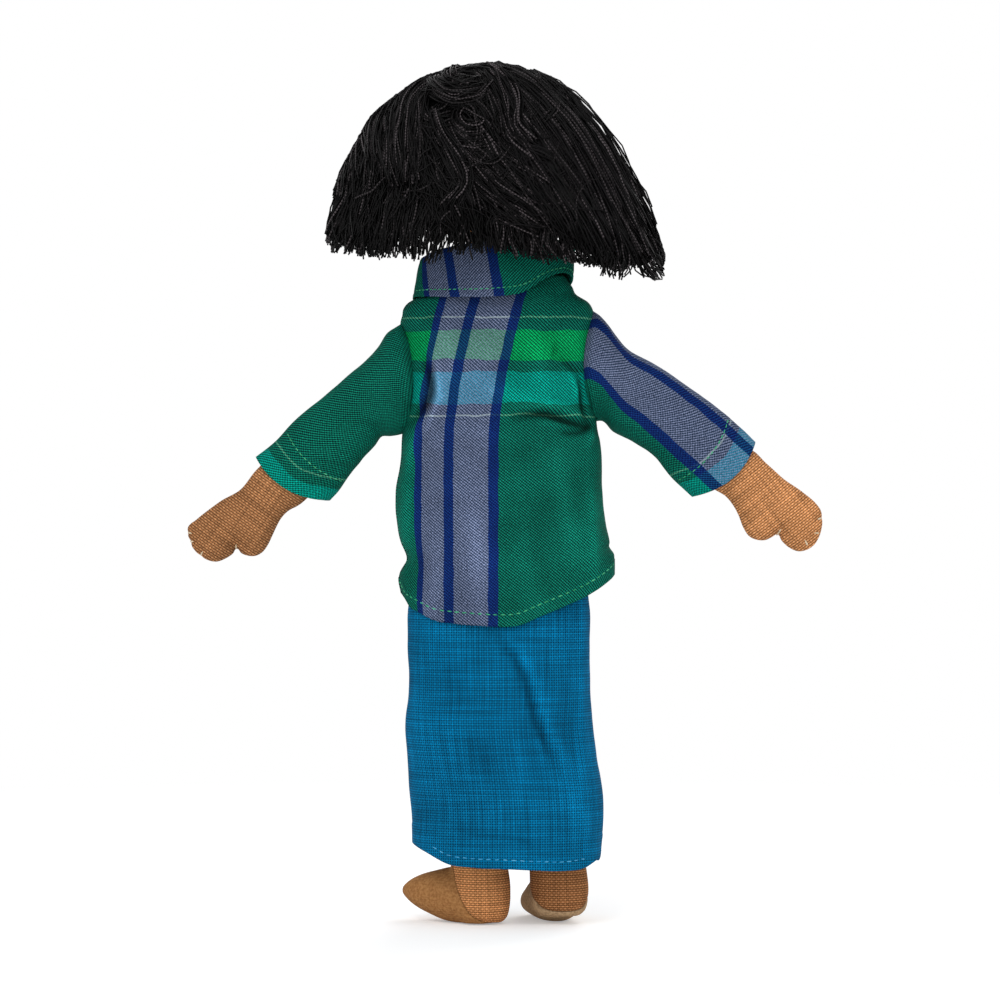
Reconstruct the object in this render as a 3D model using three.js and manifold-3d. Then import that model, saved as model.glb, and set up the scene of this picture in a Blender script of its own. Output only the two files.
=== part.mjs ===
// Cloth doll with thread hair, a plaid shirt and a long plain-woven skirt.
// Millimetres, +Z up. The doll stands on its soles and faces -Y, so its left hand is at +X.
// The origin is on the floor, below the middle of the spread hands.

import * as THREE from "three";
import { mergeVertices } from "three/addons/utils/BufferGeometryUtils.js";
import Module from "manifold-3d";

const wasm = await Module();
wasm.setup();

// Clearances
const restGap = 0.35; // between pieces that lie on each other
const turnGap = 0.5; // between pieces that turn past each other

// Cloth, with its seam allowance
const shirtCloth = 1.2;
const skirtCloth = 1.2;
const collarCloth = 1.3;

// Stance
const hipHeight = 125; // floor to the line about which both legs fold
const torsoLength = 129; // hip line to the shoulder points
const neckRise = 12; // shoulder points to the middle of the neck joint
const headRise = 52; // neck joint to the middle of the head
const trunkShift = 3; // the trunk stands this far to the doll's left of the origin
const legSpacing = 17; // hip joint to the middle of the trunk
const leftAnkleX = 10;
const rightAnkleX = -22.8;

// Stuffed torso
const chestHalfWidth = 38.8;
const waistHalfWidth = 34;
const seatHalfWidth = 34;
const chestHalfDepth = 18;
const seatHalfDepth = 16;
const shoulderHalfDepth = 15.5;
const neckBaseHalfWidth = 20;
const shoulderRise = 13; // shoulder points to the base of the neck
const armholeHeight = 45;
const shoulderTilt = 3; // the left shoulder is this much lower, and the right one higher

// Stuffed head
const headHalfWidth = 38;
const headHalfDepth = 31;
const headHalfHeight = 33;
const neckRadius = 11;
const neckNod = 18; // degrees that the neck leans in its socket

// Arms: the slope is below the horizontal
const armStuffHalfDepth = 8.6;
const upperArmWidth = 25;
const wristWidth = 22;
const handHalfDepth = 7.5;
const armSlopes = { left: 41.3, right: 36.9 };
const handSlopes = { left: 35, right: 37.5 };
const wristReaches = { left: 73.9, right: 78 };
const sleeveLengths = { left: 63.7, right: 70.8 };
const sleeveDroop = 1.6; // the sleeve hangs this much lower than the arm
const sleeveHalfDepth = 11;
const cuffWidth = 37;
const cuffTurn = 10; // the cuff's mouth turns this much further down than the arm

// Legs and feet
const thighHalfWidth = 13;
const thighHalfDepth = 19; // at the hip line, where the leg's end lies in the seat of the skirt
const ankleRadius = 12.2;
const footLength = 50;
const footHalfWidth = 12;
const instepHeight = 24;
const soleHeight = 5; // sole panel, from the floor
const toeLift = 8; // the toe's underside above the floor
const flatDepth = 0.5; // the stuffed foot is pressed flat this deep on the floor
const footTurns = { left: 58, right: 8 }; // towards the doll's left of straight ahead

// Skirt, a tube round both legs
const skirtHalfWidth = 38.5;
const skirtHalfDepth = 22;
const hemHalfWidth = 39.8;
const hemHalfDepth = 27;
const hemHeight = 26;
const hemCornerRise = 8;
const skirtHemShift = -4; // the hem hangs this far to the doll's right of the waist
const waistbandHeight = 10;
const waistbandThickness = 2.2;

// Shirt, as room left round the torso or the skirt
const shirtWaistEase = 7.8;
const shirtHemEase = 5.4;
const shirtDepthEase = 2;
const shirtHemShift = 4; // the hem hangs this far to the doll's right of the shoulders
const shirtHemDrop = 0.6; // lowest point of the back hem, below the hip line
const shirtLeftCorner = 13; // hem corners above the hip line
const shirtRightCorner = 21;
const frontOpening = 4; // the fronts meet this far from the middle
const necklineHalfWidth = 21;
const necklineHalfDepth = 14.5;

// Collar
const collarTopHalfWidth = 26;
const collarTopHalfDepth = 19;
const collarEdgeHalfWidth = 34.8;
const collarEdgeHalfDepth = 20;
const collarRise = 30; // top fold above the shoulder points, at the back
const collarFall = 18; // fold to the free edge
const collarFrontDrop = 11; // the fold is this much lower at the front
const collarOpening = 50; // open angle at the front, in degrees

// Buttons
const buttonCount = 4;
const buttonRadius = 3.2;
const buttonThickness = 1.4;
const buttonSpacing = 27;
const topButtonDrop = 12; // below the shoulder points

// Thread hair
const hairCrown = 10; // over the top of the head
const hairRimDrop = 42; // middle of the head to the cut ends
const hairHalfDepth = 46;
const hairForward = 1.8; // the bob stands this far in front of the head's middle
const hairLeftReach = 74.5; // from the middle of the head to the widest thread ends
const hairRightReach = 74;
const hairHollowHalfWidth = 48;
const hairHollowHalfDepth = 35;
const faceHalfWidth = 29;
const fringeRise = 12; // lower edge of the fringe above the middle of the head
const fringeHalfWidth = 34;
const fringeSeam = 11; // seam of the fringe in front of the crown's middle
const napeLift = 6; // the cut ends are this much higher at the nape

// Embroidered face
const eyeSpacing = 12; // each eye to the middle of the face
const eyeRise = -4;
const eyeHalfWidth = 3.4;
const eyeHalfHeight = 2.6;
const browRise = 8; // above the eyes
const browHalfWidth = 5;
const mouthDrop = 17; // below the eyes
const mouthHalfWidth = 6;
const threadRadius = 0.7;

// Worked-out heights
const shoulderHeight = hipHeight + torsoLength;
const armpitHeight = shoulderHeight - armholeHeight;
const bladeHeight = shoulderHeight - 18; // shoulder blades
const waistHeight = THREE.MathUtils.lerp(hipHeight, armpitHeight, 0.6);
const neckHeight = shoulderHeight + neckRise;
const headHeight = neckHeight + headRise;
const shoulderTop = shoulderHeight + shoulderRise;
const farOut = shoulderHeight + headRise; // past the doll on every side, for the cutting blocks

// Roundness of a section: 2 is an ellipse, more is squarer
const bodyRoundness = 2.4;
const skirtRoundness = 2.8;
const trunkSides = 24; // faces round the torso and the shirt

const vector = (x, y, z) => new THREE.Vector3(x, y, z);
const lerp = THREE.MathUtils.lerp;
const radians = THREE.MathUtils.degToRad;

const smoothLine = (points) => new THREE.CatmullRomCurve3(points, false, "catmullrom");

// A signed power, for the sections
function softPower(value, power) {
  return Math.sign(value) * Math.abs(value) ** power;
}

// Points of a rounded section, each passed to place(u, v), which run from -1 to 1
function ring(count, roundness, place) {
  return Array.from({ length: count }, (_, i) => {
    const turn = (i / count) * 2 * Math.PI;
    return place(softPower(Math.cos(turn), 2 / roundness), softPower(Math.sin(turn), 2 / roundness));
  });
}

// A closed body through rings of equal count, with both end rings capped
function skin(rings, section) {
  const count = rings[0].length;
  const cap = section
    ? THREE.ShapeUtils.triangulateShape(section, [])
    : Array.from({ length: count - 2 }, (_, i) => [0, i + 1, i + 2]);
  if (section && THREE.ShapeUtils.isClockWise(section)) {
    for (const face of cap) face.reverse();
  }
  const faces = [];
  for (let row = 0; row < rings.length - 1; row++) {
    for (let i = 0; i < count; i++) {
      const a = row * count + i;
      const b = row * count + ((i + 1) % count);
      faces.push(a, b, b + count, a, b + count, a + count);
    }
  }
  const last = (rings.length - 1) * count;
  for (const [a, b, c] of cap) {
    faces.push(a, c, b, last + a, last + b, last + c);
  }
  const points = rings.flat();
  let volume = 0;
  for (let i = 0; i < faces.length; i += 3) {
    const [p, q, r] = [points[faces[i]], points[faces[i + 1]], points[faces[i + 2]]];
    volume += p.dot(q.clone().cross(r));
  }
  if (volume < 0) faces.reverse();
  const geometry = new THREE.BufferGeometry().setFromPoints(points);
  geometry.setIndex(faces);
  return geometry;
}

// A geometry as a solid that can be cut and joined
function solid(geometry) {
  const bare = geometry.clone();
  bare.deleteAttribute("normal");
  bare.deleteAttribute("uv");
  const merged = mergeVertices(bare, 1e-4);
  return new wasm.Manifold(
    new wasm.Mesh({
      numProp: 3,
      vertProperties: merged.attributes.position.array,
      triVerts: new Uint32Array(merged.index.array),
    }),
  );
}

// A cut or joined solid as a geometry
function shape(body) {
  const mesh = body.getMesh();
  const geometry = new THREE.BufferGeometry();
  geometry.setAttribute("position", new THREE.BufferAttribute(mesh.vertProperties, 3));
  geometry.setIndex(new THREE.BufferAttribute(mesh.triVerts, 1));
  geometry.computeVertexNormals();
  return geometry;
}

// A block between two corners
function block(low, high) {
  const size = high.clone().sub(low);
  const middle = low.clone().add(high).multiplyScalar(0.5);
  return solid(new THREE.BoxGeometry(size.x, size.y, size.z).translate(middle.x, middle.y, middle.z));
}

// Everything between two heights
function slab(low, high) {
  return block(vector(-farOut, -farOut, low), vector(farOut, farOut, high));
}

// A smooth body through level sections, each { x, y, z, w, d } with half width and half depth,
// with this many rings from one level to the next
function levelBody(levels, rows, count, roundness, bend = () => vector(0, 0, 0)) {
  const steps = rows * (levels.length - 1);
  const sizes = smoothLine(levels.map((l) => vector(l.w, l.d, l.z)));
  const middles = smoothLine(levels.map((l) => vector(l.x ?? 0, l.y ?? 0, l.z)));
  const rings = [];
  for (let step = 0; step <= steps; step++) {
    const size = sizes.getPoint(step / steps);
    const middle = middles.getPoint(step / steps);
    rings.push(
      ring(count, roundness, (u, v) => {
        const point = vector(middle.x + u * size.x, middle.y + v * size.y, size.z);
        return point.add(bend(u, v, step / steps, size.z));
      }),
    );
  }
  return skin(rings);
}

// A body through ribs that stand in the XZ plane, each { top, bottom, depth }, with points in X and Z
function ribBody(ribs, count, roundness) {
  return skin(
    ribs.map(({ top, bottom, depth }) => {
      const middle = top.clone().add(bottom).multiplyScalar(0.5);
      const half = top.clone().sub(bottom).multiplyScalar(0.5);
      const place = (u, v) => vector(middle.x + u * half.x, v * depth, middle.y + u * half.y);
      return ring(count, roundness, place);
    }),
  );
}

// The shoulders stand askew above the waist
function tiltShoulders(u, v, share, height) {
  const rise = THREE.MathUtils.smoothstep(height, waistHeight, bladeHeight);
  return vector(0, 0, -shoulderTilt * u * rise);
}

// Torso: swells at the chest and the seat, and is narrow at the neck
function torsoLevels(grow) {
  const level = (z, w, d) => ({ x: trunkShift, z, w: w + grow, d: d + grow });
  const slopeHalfWidth = lerp(neckBaseHalfWidth, chestHalfWidth, 0.5);
  const bladeHalfDepth = lerp(chestHalfDepth, shoulderHalfDepth, 0.5);
  return [
    level(hipHeight - 8, seatHalfWidth - 3, seatHalfDepth - 2),
    level(hipHeight + 20, seatHalfWidth, seatHalfDepth),
    level(waistHeight, waistHalfWidth, chestHalfDepth - 0.6),
    level(armpitHeight, chestHalfWidth - 0.4, chestHalfDepth),
    level(bladeHeight, chestHalfWidth, bladeHalfDepth),
    level(shoulderHeight, chestHalfWidth - 0.6, shoulderHalfDepth),
    level(lerp(shoulderHeight, shoulderTop, 0.45), chestHalfWidth - 4, shoulderHalfDepth - 0.5),
    level(lerp(shoulderHeight, shoulderTop, 0.8) + grow, slopeHalfWidth, shoulderHalfDepth - 1.5),
    level(shoulderTop + grow, neckBaseHalfWidth, shoulderHalfDepth - 2.5),
  ];
}

// Seat of the skirt: a round top that turns about the hip line
function seatDome(grow) {
  const profile = [];
  const steps = 12;
  for (let i = 0; i <= steps; i++) {
    const turn = (i / steps) * Math.PI;
    const along = -softPower(Math.cos(turn), 2 / skirtRoundness) * (skirtHalfWidth + grow);
    const out = softPower(Math.sin(turn), 2 / skirtRoundness) * (skirtHalfDepth + grow);
    profile.push(new THREE.Vector2(i === 0 || i === steps ? 0 : out, along));
  }
  const dome = new THREE.LatheGeometry(profile, 20);
  dome.rotateZ(-Math.PI / 2);
  dome.translate(trunkShift, 0, hipHeight);
  return solid(dome);
}

// Round socket of the neck, with a mouth that flares so that the neck can lean
function neckSocket() {
  const ball = new THREE.SphereGeometry(neckRadius + turnGap, 18, 12);
  const lean = radians(neckNod);
  const start = -neckRadius * Math.sin(lean);
  const end = shoulderTop + shoulderTilt - neckHeight + turnGap;
  const narrow = neckRadius * Math.cos(lean) + turnGap;
  const wide = narrow + (end - start) * Math.tan(lean);
  const mouth = new THREE.CylinderGeometry(wide, narrow, end - start, 24);
  mouth.rotateX(Math.PI / 2);
  mouth.translate(0, 0, (start + end) / 2);
  return solid(ball).add(solid(mouth)).translate(trunkShift, 0, neckHeight);
}

// Flat space in front of the seat, which the thighs fill when the doll sits
function lapSpace() {
  const wide = skirtHalfWidth + turnGap;
  const low = vector(trunkShift - wide, -skirtHalfDepth - turnGap, hipHeight - skirtHalfDepth);
  return block(low, vector(trunkShift + wide, 0, hipHeight + skirtHalfDepth + turnGap));
}

function torsoForm(grow) {
  return solid(levelBody(torsoLevels(grow), 2, trunkSides, bodyRoundness, tiltShoulders));
}

function makeTorso() {
  return torsoForm(0).subtract(seatDome(turnGap)).subtract(lapSpace()).subtract(neckSocket());
}

// Head with its neck stump, which ends round in the torso's socket
function makeHead() {
  const chin = headHeight - headHalfHeight;
  const neck = new THREE.CapsuleGeometry(neckRadius, chin - neckHeight + 6, 6, 20);
  neck.rotateX(Math.PI / 2);
  neck.translate(trunkShift, 0, (chin + neckHeight + 6) / 2);
  return headForm(0).add(solid(neck));
}

// The stuffed ball of the head, a little fuller at the cheeks than at the crown
function headForm(grow) {
  const ball = new THREE.SphereGeometry(1, 22, 12);
  ball.rotateX(Math.PI / 2);
  const spots = ball.attributes.position;
  for (let i = 0; i < spots.count; i++) {
    const z = spots.getZ(i);
    const cheek = 1 - 0.05 * z;
    spots.setXYZ(
      i,
      trunkShift + spots.getX(i) * (headHalfWidth * cheek + grow),
      spots.getY(i) * (headHalfDepth * cheek + grow),
      headHeight + z * (headHalfHeight + grow),
    );
  }
  return solid(ball);
}

// How far the face stands out at a place beside and above the middle of the head
function faceDepth(side, rise) {
  const cheek = 1 - (0.05 * rise) / headHalfHeight;
  const across = side / (headHalfWidth * cheek);
  const up = rise / headHalfHeight;
  return -headHalfDepth * cheek * Math.sqrt(1 - across * across - up * up);
}

function facePoint(side, rise, lift) {
  const point = vector(side, faceDepth(side, rise), rise);
  const out = point.clone().divide(vector(headHalfWidth ** 2, headHalfDepth ** 2, headHalfHeight ** 2));
  return point.addScaledVector(out.normalize(), lift).add(vector(trunkShift, 0, headHeight));
}

// A satin-stitched eye lies on the face
function makeEye(side) {
  const patch = new THREE.CylinderGeometry(1, 1, threadRadius, 16);
  patch.scale(eyeHalfWidth, 1, eyeHalfHeight);
  const seat = facePoint(side * eyeSpacing, eyeRise, restGap + threadRadius / 2);
  const out = facePoint(side * eyeSpacing, eyeRise, 2).sub(seat);
  patch.applyQuaternion(new THREE.Quaternion().setFromUnitVectors(vector(0, 1, 0), out.normalize()));
  patch.translate(seat.x, seat.y, seat.z);
  return solid(patch);
}

// A stitched line over the face, bowed up or down in its middle
function makeFaceLine(side, rise, halfWidth, bow) {
  const points = [-1, -0.5, 0, 0.5, 1].map((t) =>
    facePoint(side + t * halfWidth, rise + bow * (1 - t * t), threadRadius + restGap),
  );
  const section = new THREE.Shape().absarc(0, 0, threadRadius, 0, 2 * Math.PI);
  const line = new THREE.ExtrudeGeometry(section, {
    steps: 10,
    curveSegments: 4,
    extrudePath: new THREE.CatmullRomCurve3(points),
  });
  return solid(line);
}

// Thread hair: the outline of the bob, wider to the doll's left, hollow over the head and the collar
function hairLevels() {
  const top = headHeight + headHalfHeight + hairCrown;
  const rim = headHeight - hairRimDrop;
  const level = (z, leftReach, rightReach, d) => ({
    x: trunkShift + (leftReach - rightReach) / 2,
    y: -hairForward,
    z,
    w: (leftReach + rightReach) / 2,
    d,
  });
  return [
    level(rim, hairLeftReach - 4, hairRightReach - 4, hairHalfDepth - 3),
    level(rim + 6, hairLeftReach, hairRightReach, hairHalfDepth),
    level(rim + 22, hairLeftReach - 2, hairRightReach - 9, hairHalfDepth),
    level(headHeight - 9, hairLeftReach - 5.5, hairRightReach - 15, hairHalfDepth - 2),
    level(headHeight + 5, hairLeftReach - 11, hairRightReach - 22, hairHalfDepth - 4),
    level(top - 24, hairLeftReach - 25, hairRightReach - 33, hairHalfDepth - 8),
    level(top - 11, hairLeftReach - 35, hairRightReach - 49, hairHalfDepth - 17),
    level(top - 3, hairLeftReach - 50, hairRightReach - 61, hairHalfDepth - 30),
    level(top, hairLeftReach - 64, hairRightReach - 72, hairHalfDepth - 43),
  ];
}

// Inside of the bob, open downwards
function hairHollow() {
  const level = (z, w, d) => ({ x: trunkShift, z, w, d });
  return solid(
    levelBody(
      [
        level(headHeight - hairRimDrop - 12, hairHollowHalfWidth + 1, hairHollowHalfDepth + 1),
        level(headHeight - hairRimDrop + 4, hairHollowHalfWidth, hairHollowHalfDepth),
        level(headHeight - headHalfHeight * 0.7, hairHollowHalfWidth - 3, hairHollowHalfDepth - 1),
        level(headHeight, headHalfWidth + restGap, headHalfDepth + restGap),
      ],
      1,
      24,
      2,
    ),
  );
}

// An upright opening in front, with a round top
function frontArch(halfWidth, archTop) {
  const low = headHeight - hairRimDrop - 20;
  const spring = archTop - halfWidth * 0.6;
  const outline = new THREE.Shape();
  outline.moveTo(-halfWidth, low);
  outline.lineTo(halfWidth, low);
  outline.lineTo(halfWidth, spring);
  outline.absellipse(0, spring, halfWidth, archTop - spring, 0, Math.PI, false, 0);
  outline.closePath();
  const arch = new THREE.ExtrudeGeometry(outline, { depth: 80, bevelEnabled: false, curveSegments: 12 });
  arch.rotateX(Math.PI / 2);
  arch.translate(trunkShift, -fringeSeam, 0);
  return solid(arch);
}

// The rim is lifted at the nape, where the collar shows under it
function liftNape(u, v, rise) {
  return vector(0, 0, napeLift * Math.max(0, v) * (1 - u * u) * Math.max(0, 1 - rise * 5));
}

// Mop of thread, and a fringe sewn on in front of the crown
function makeHair() {
  const mop = solid(levelBody(hairLevels(), 1, 28, 2, liftNape))
    .subtract(headForm(restGap))
    .subtract(hairHollow())
    .subtract(frontArch(faceHalfWidth, headHeight + fringeRise));
  const fringeBlock = (grow) =>
    block(
      vector(trunkShift - fringeHalfWidth - grow, -farOut, headHeight - grow),
      vector(trunkShift + fringeHalfWidth + grow, -fringeSeam + grow, 2 * headHeight),
    );
  return { back: mop.subtract(fringeBlock(restGap)), fringe: mop.intersect(fringeBlock(0)) };
}

// Shirt: room inside it, from below the hem up to the neckline
function shirtLevels(grow) {
  const level = (shift, z, w, d) => ({ x: trunkShift - shift, z, w: w + grow, d: d + grow });
  const hemWidth = skirtHalfWidth + shirtHemEase;
  const hemDepth = skirtHalfDepth + shirtDepthEase;
  const waistWidth = waistHalfWidth + shirtWaistEase;
  const overTorso = torsoLevels(restGap + grow).filter(({ z }) => z >= armpitHeight);
  return [
    level(shirtHemShift, hipHeight - 16, hemWidth + 0.6, hemDepth + 1),
    level(shirtHemShift, hipHeight + 12, hemWidth, hemDepth),
    level(shirtHemShift / 2, hipHeight + 40, waistWidth, skirtHalfDepth),
    level(0, armpitHeight - 16, lerp(waistWidth, chestHalfWidth, 0.5), chestHalfDepth + shirtDepthEase),
    ...overTorso,
  ];
}

function shirtForm(grow) {
  return solid(levelBody(shirtLevels(grow), 2, trunkSides, bodyRoundness, tiltShoulders));
}

// Everything below the hem, as seen from behind
function belowHem() {
  const left = trunkShift + skirtHalfWidth + shirtHemEase + shirtCloth;
  const right = trunkShift - skirtHalfWidth - shirtHemEase - shirtCloth - 3;
  const edge = new THREE.CatmullRomCurve3([
    vector(right - 8, hipHeight + shirtRightCorner + 5, 0),
    vector(right, hipHeight + shirtRightCorner, 0),
    vector(right + 13, hipHeight + shirtRightCorner * 0.55, 0),
    vector(right + 36, hipHeight + 1.5, 0),
    vector(right + 56, hipHeight - shirtHemDrop, 0),
    vector(left - 18, hipHeight + 1, 0),
    vector(left - 5, hipHeight + shirtLeftCorner * 0.5, 0),
    vector(left, hipHeight + shirtLeftCorner, 0),
    vector(left + 8, hipHeight + shirtLeftCorner + 3, 0),
  ]);
  const outline = new THREE.Shape();
  outline.moveTo(right - 8, hipHeight - 60);
  for (const point of edge.getPoints(24)) outline.lineTo(point.x, point.y);
  outline.lineTo(left + 8, hipHeight - 60);
  outline.closePath();
  const cut = new THREE.ExtrudeGeometry(outline, { depth: farOut, bevelEnabled: false });
  cut.rotateX(Math.PI / 2);
  cut.translate(0, farOut / 2, 0);
  return solid(cut);
}

// Shirt of a back and two fronts, sewn at the sides and the shoulders
function makeShirt() {
  const neckline = new THREE.CylinderGeometry(1, 1, 60, 32).rotateX(Math.PI / 2);
  neckline.scale(necklineHalfWidth, necklineHalfDepth, 1);
  neckline.translate(trunkShift, 0, shoulderTop + 20);
  const shell = shirtForm(shirtCloth).subtract(shirtForm(0)).subtract(belowHem()).subtract(solid(neckline));
  const seam = restGap / 2;
  const edge = trunkShift - frontOpening;
  return {
    back: shell.intersect(block(vector(-farOut, seam, 0), vector(farOut, farOut, farOut))),
    left: shell.intersect(block(vector(edge + seam, -farOut, 0), vector(farOut, -seam, farOut))),
    right: shell.intersect(block(vector(-farOut, -farOut, 0), vector(edge - seam, -seam, farOut))),
  };
}

// Fold-down collar: stand and fall in one folded strip, open at the front
function makeCollar() {
  const foldHeight = shoulderHeight + collarRise;
  const strip = (drop) => {
    const half = collarCloth / 2;
    const spread = (share) => ({
      w: lerp(collarTopHalfWidth, collarEdgeHalfWidth, share),
      d: lerp(collarTopHalfDepth, collarEdgeHalfDepth, share),
    });
    const low = foldHeight - drop - collarFall;
    const fold = spread(0);
    const edge = spread(1);
    return [
      { w: fold.w - 3.2 - half, d: fold.d - 2.6 - half, z: shoulderTop - 4 },
      { w: fold.w - half, d: fold.d - half, z: foldHeight - drop - 1 },
      { w: fold.w + half, d: fold.d + half, z: foldHeight - drop },
      { w: edge.w, d: edge.d, z: low },
      { w: edge.w - collarCloth, d: edge.d - collarCloth, z: low },
      { w: fold.w + half, d: fold.d + half, z: foldHeight - drop - 2.4 },
      { w: fold.w - 3.2 + half, d: fold.d - 2.6 + half, z: shoulderTop - 4 },
    ];
  };
  const start = radians(-90 + collarOpening / 2);
  const sweep = radians(360 - collarOpening);
  const steps = 22;
  const rings = [];
  for (let step = 0; step <= steps; step++) {
    const turn = start + (sweep * step) / steps;
    const front = (1 - Math.sin(turn)) / 2;
    rings.push(
      strip(collarFrontDrop * front).map(({ w, d, z }) =>
        vector(trunkShift + Math.cos(turn) * w, Math.sin(turn) * d, z - shoulderTilt * Math.cos(turn)),
      ),
    );
  }
  const section = strip(0).map(({ w, z }) => new THREE.Vector2(w, z));
  return solid(skin(rings, section)).subtract(shirtForm(shirtCloth + restGap));
}

// How far the shirt stands out in front, at a height on its middle line
function shirtFront(height) {
  const levels = shirtLevels(shirtCloth);
  const points = smoothLine(levels.map((l) => vector(l.w, l.d, l.z))).getPoints(18);
  const above = points.findIndex((point) => point.z > height);
  const [low, high] = [points[above - 1], points[above]];
  return -lerp(low.y, high.y, (height - low.z) / (high.z - low.z));
}

function makeButton(number) {
  const height = shoulderHeight - topButtonDrop - number * buttonSpacing;
  const button = new THREE.CylinderGeometry(buttonRadius, buttonRadius, buttonThickness, 20);
  const upper = shirtFront(height + buttonRadius);
  const lower = shirtFront(height - buttonRadius);
  button.rotateX(Math.atan2(lower - upper, 2 * buttonRadius));
  const seat = Math.min(upper, lower, shirtFront(height));
  button.translate(trunkShift, seat - restGap - buttonThickness / 2, height);
  return solid(button);
}

// Skirt: a tube with soft folds under a round seat that turns in the torso
function skirtForm(shrink, below) {
  const level = (sway, z, w, d) => ({
    x: trunkShift + skirtHemShift * sway,
    z,
    w: w - shrink,
    d: d - shrink,
  });
  const kneeHeight = lerp(hemHeight, hipHeight, 0.45);
  const thighHeight = lerp(hemHeight, hipHeight, 0.82);
  const levels = [
    level(1, hemHeight - below, hemHalfWidth, hemHalfDepth),
    level(0.85, hemHeight + 14, hemHalfWidth + 0.6, hemHalfDepth - 0.5),
    level(0.6, kneeHeight, hemHalfWidth - 0.3, lerp(hemHalfDepth, skirtHalfDepth, 0.4)),
    level(0.15, thighHeight, skirtHalfWidth, skirtHalfDepth + 0.4),
    level(0, hipHeight, skirtHalfWidth, skirtHalfDepth),
  ];
  const folds = (u, v, rise) => {
    const low = 1 - rise;
    const diagonal = Math.exp(-(((u - lerp(-0.72, 0.1, rise)) / 0.13) ** 2)) * (v > 0 ? 1 : 0);
    const sideFold = Math.exp(-(((u + 0.86) / 0.08) ** 2)) * (v > 0 ? 1 : 0);
    const out = (diagonal * 1.4 + sideFold * 0.9) * Math.min(1, 4 * low) * v;
    const corner = below > 0 ? 0 : hemCornerRise * Math.abs(u) ** 8 * Math.max(0, 1 - rise * 5);
    return vector(0, out, corner);
  };
  return solid(levelBody(levels, 2, 36, skirtRoundness, folds));
}

function makeSkirt() {
  const outer = skirtForm(0, 0).add(seatDome(0));
  const inner = skirtForm(skirtCloth, 6).add(seatDome(-skirtCloth));
  return outer.subtract(inner);
}

// Waistband, round the torso above the seat
function makeWaistband() {
  const low = hipHeight + skirtHalfDepth + turnGap + 1;
  const band = slab(low, low + waistbandHeight);
  return torsoForm(restGap + waistbandThickness).intersect(band).subtract(torsoForm(restGap));
}

// Both arms are worked out for the doll's left, from the shoulder point, and mirrored for its right
function armPlan(side) {
  const slope = radians(armSlopes[side]);
  const sleeveSlope = radians(armSlopes[side] + sleeveDroop);
  const downwards = (angle) => new THREE.Vector2(Math.cos(angle), -Math.sin(angle));
  const armholeMiddle = new THREE.Vector2(0, -armholeHeight / 2);
  const cuffMiddle = armholeMiddle.clone().addScaledVector(downwards(sleeveSlope), sleeveLengths[side]);
  const wrist = armholeMiddle.clone().addScaledVector(downwards(slope), wristReaches[side]);
  return { slope, sleeveSlope, armholeMiddle, cuffMiddle, wrist, pivot: turnGap + sleeveHalfDepth };
}

// Keeps what is beyond the pivot, and a round nose of this radius about it
function shoulderNose(pivot, radius) {
  const nose = new THREE.CylinderGeometry(radius, radius, farOut, 24).rotateX(Math.PI / 2);
  nose.translate(pivot, 0, 0);
  return solid(nose).add(block(vector(pivot, -farOut, -farOut), vector(2 * farOut, farOut, farOut)));
}

// Sleeve outline: from the armhole to a slanted cuff
function sleeveBody(side, shrink, reach) {
  const plan = armPlan(side);
  const mouth = plan.sleeveSlope + radians(cuffTurn);
  const across = new THREE.Vector2(Math.sin(mouth), Math.cos(mouth)).multiplyScalar(cuffWidth / 2);
  const armpit = new THREE.Vector2(0, -armholeHeight);
  const upper = new THREE.QuadraticBezierCurve(
    new THREE.Vector2(0, 0),
    new THREE.Vector2(9, -7),
    plan.cuffMiddle.clone().add(across),
  );
  const lower = new THREE.QuadraticBezierCurve(
    armpit,
    armpit.clone().add(new THREE.Vector2(12, 0)),
    plan.cuffMiddle.clone().sub(across),
  );
  const ribs = [];
  const steps = 7;
  for (let step = 0; step <= steps; step++) {
    const top = upper.getPoint(step / steps);
    const bottom = lower.getPoint(step / steps);
    const inward = bottom.clone().sub(top).normalize().multiplyScalar(shrink);
    ribs.push({ top: top.add(inward), bottom: bottom.sub(inward), depth: sleeveHalfDepth - shrink });
  }
  const end = ribs[steps];
  const beyond = new THREE.Vector2(Math.cos(mouth), -Math.sin(mouth)).multiplyScalar(reach);
  if (reach > 0) {
    const [top, bottom] = [end.top, end.bottom].map((point) => point.clone().add(beyond));
    ribs.push({ top, bottom, depth: end.depth });
  }
  return solid(ribBody(ribs, 20, 2.2)).intersect(shoulderNose(plan.pivot, sleeveHalfDepth - shrink));
}

function makeSleeve(side) {
  return sleeveBody(side, 0, 0).subtract(sleeveBody(side, shirtCloth, 8));
}

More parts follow.
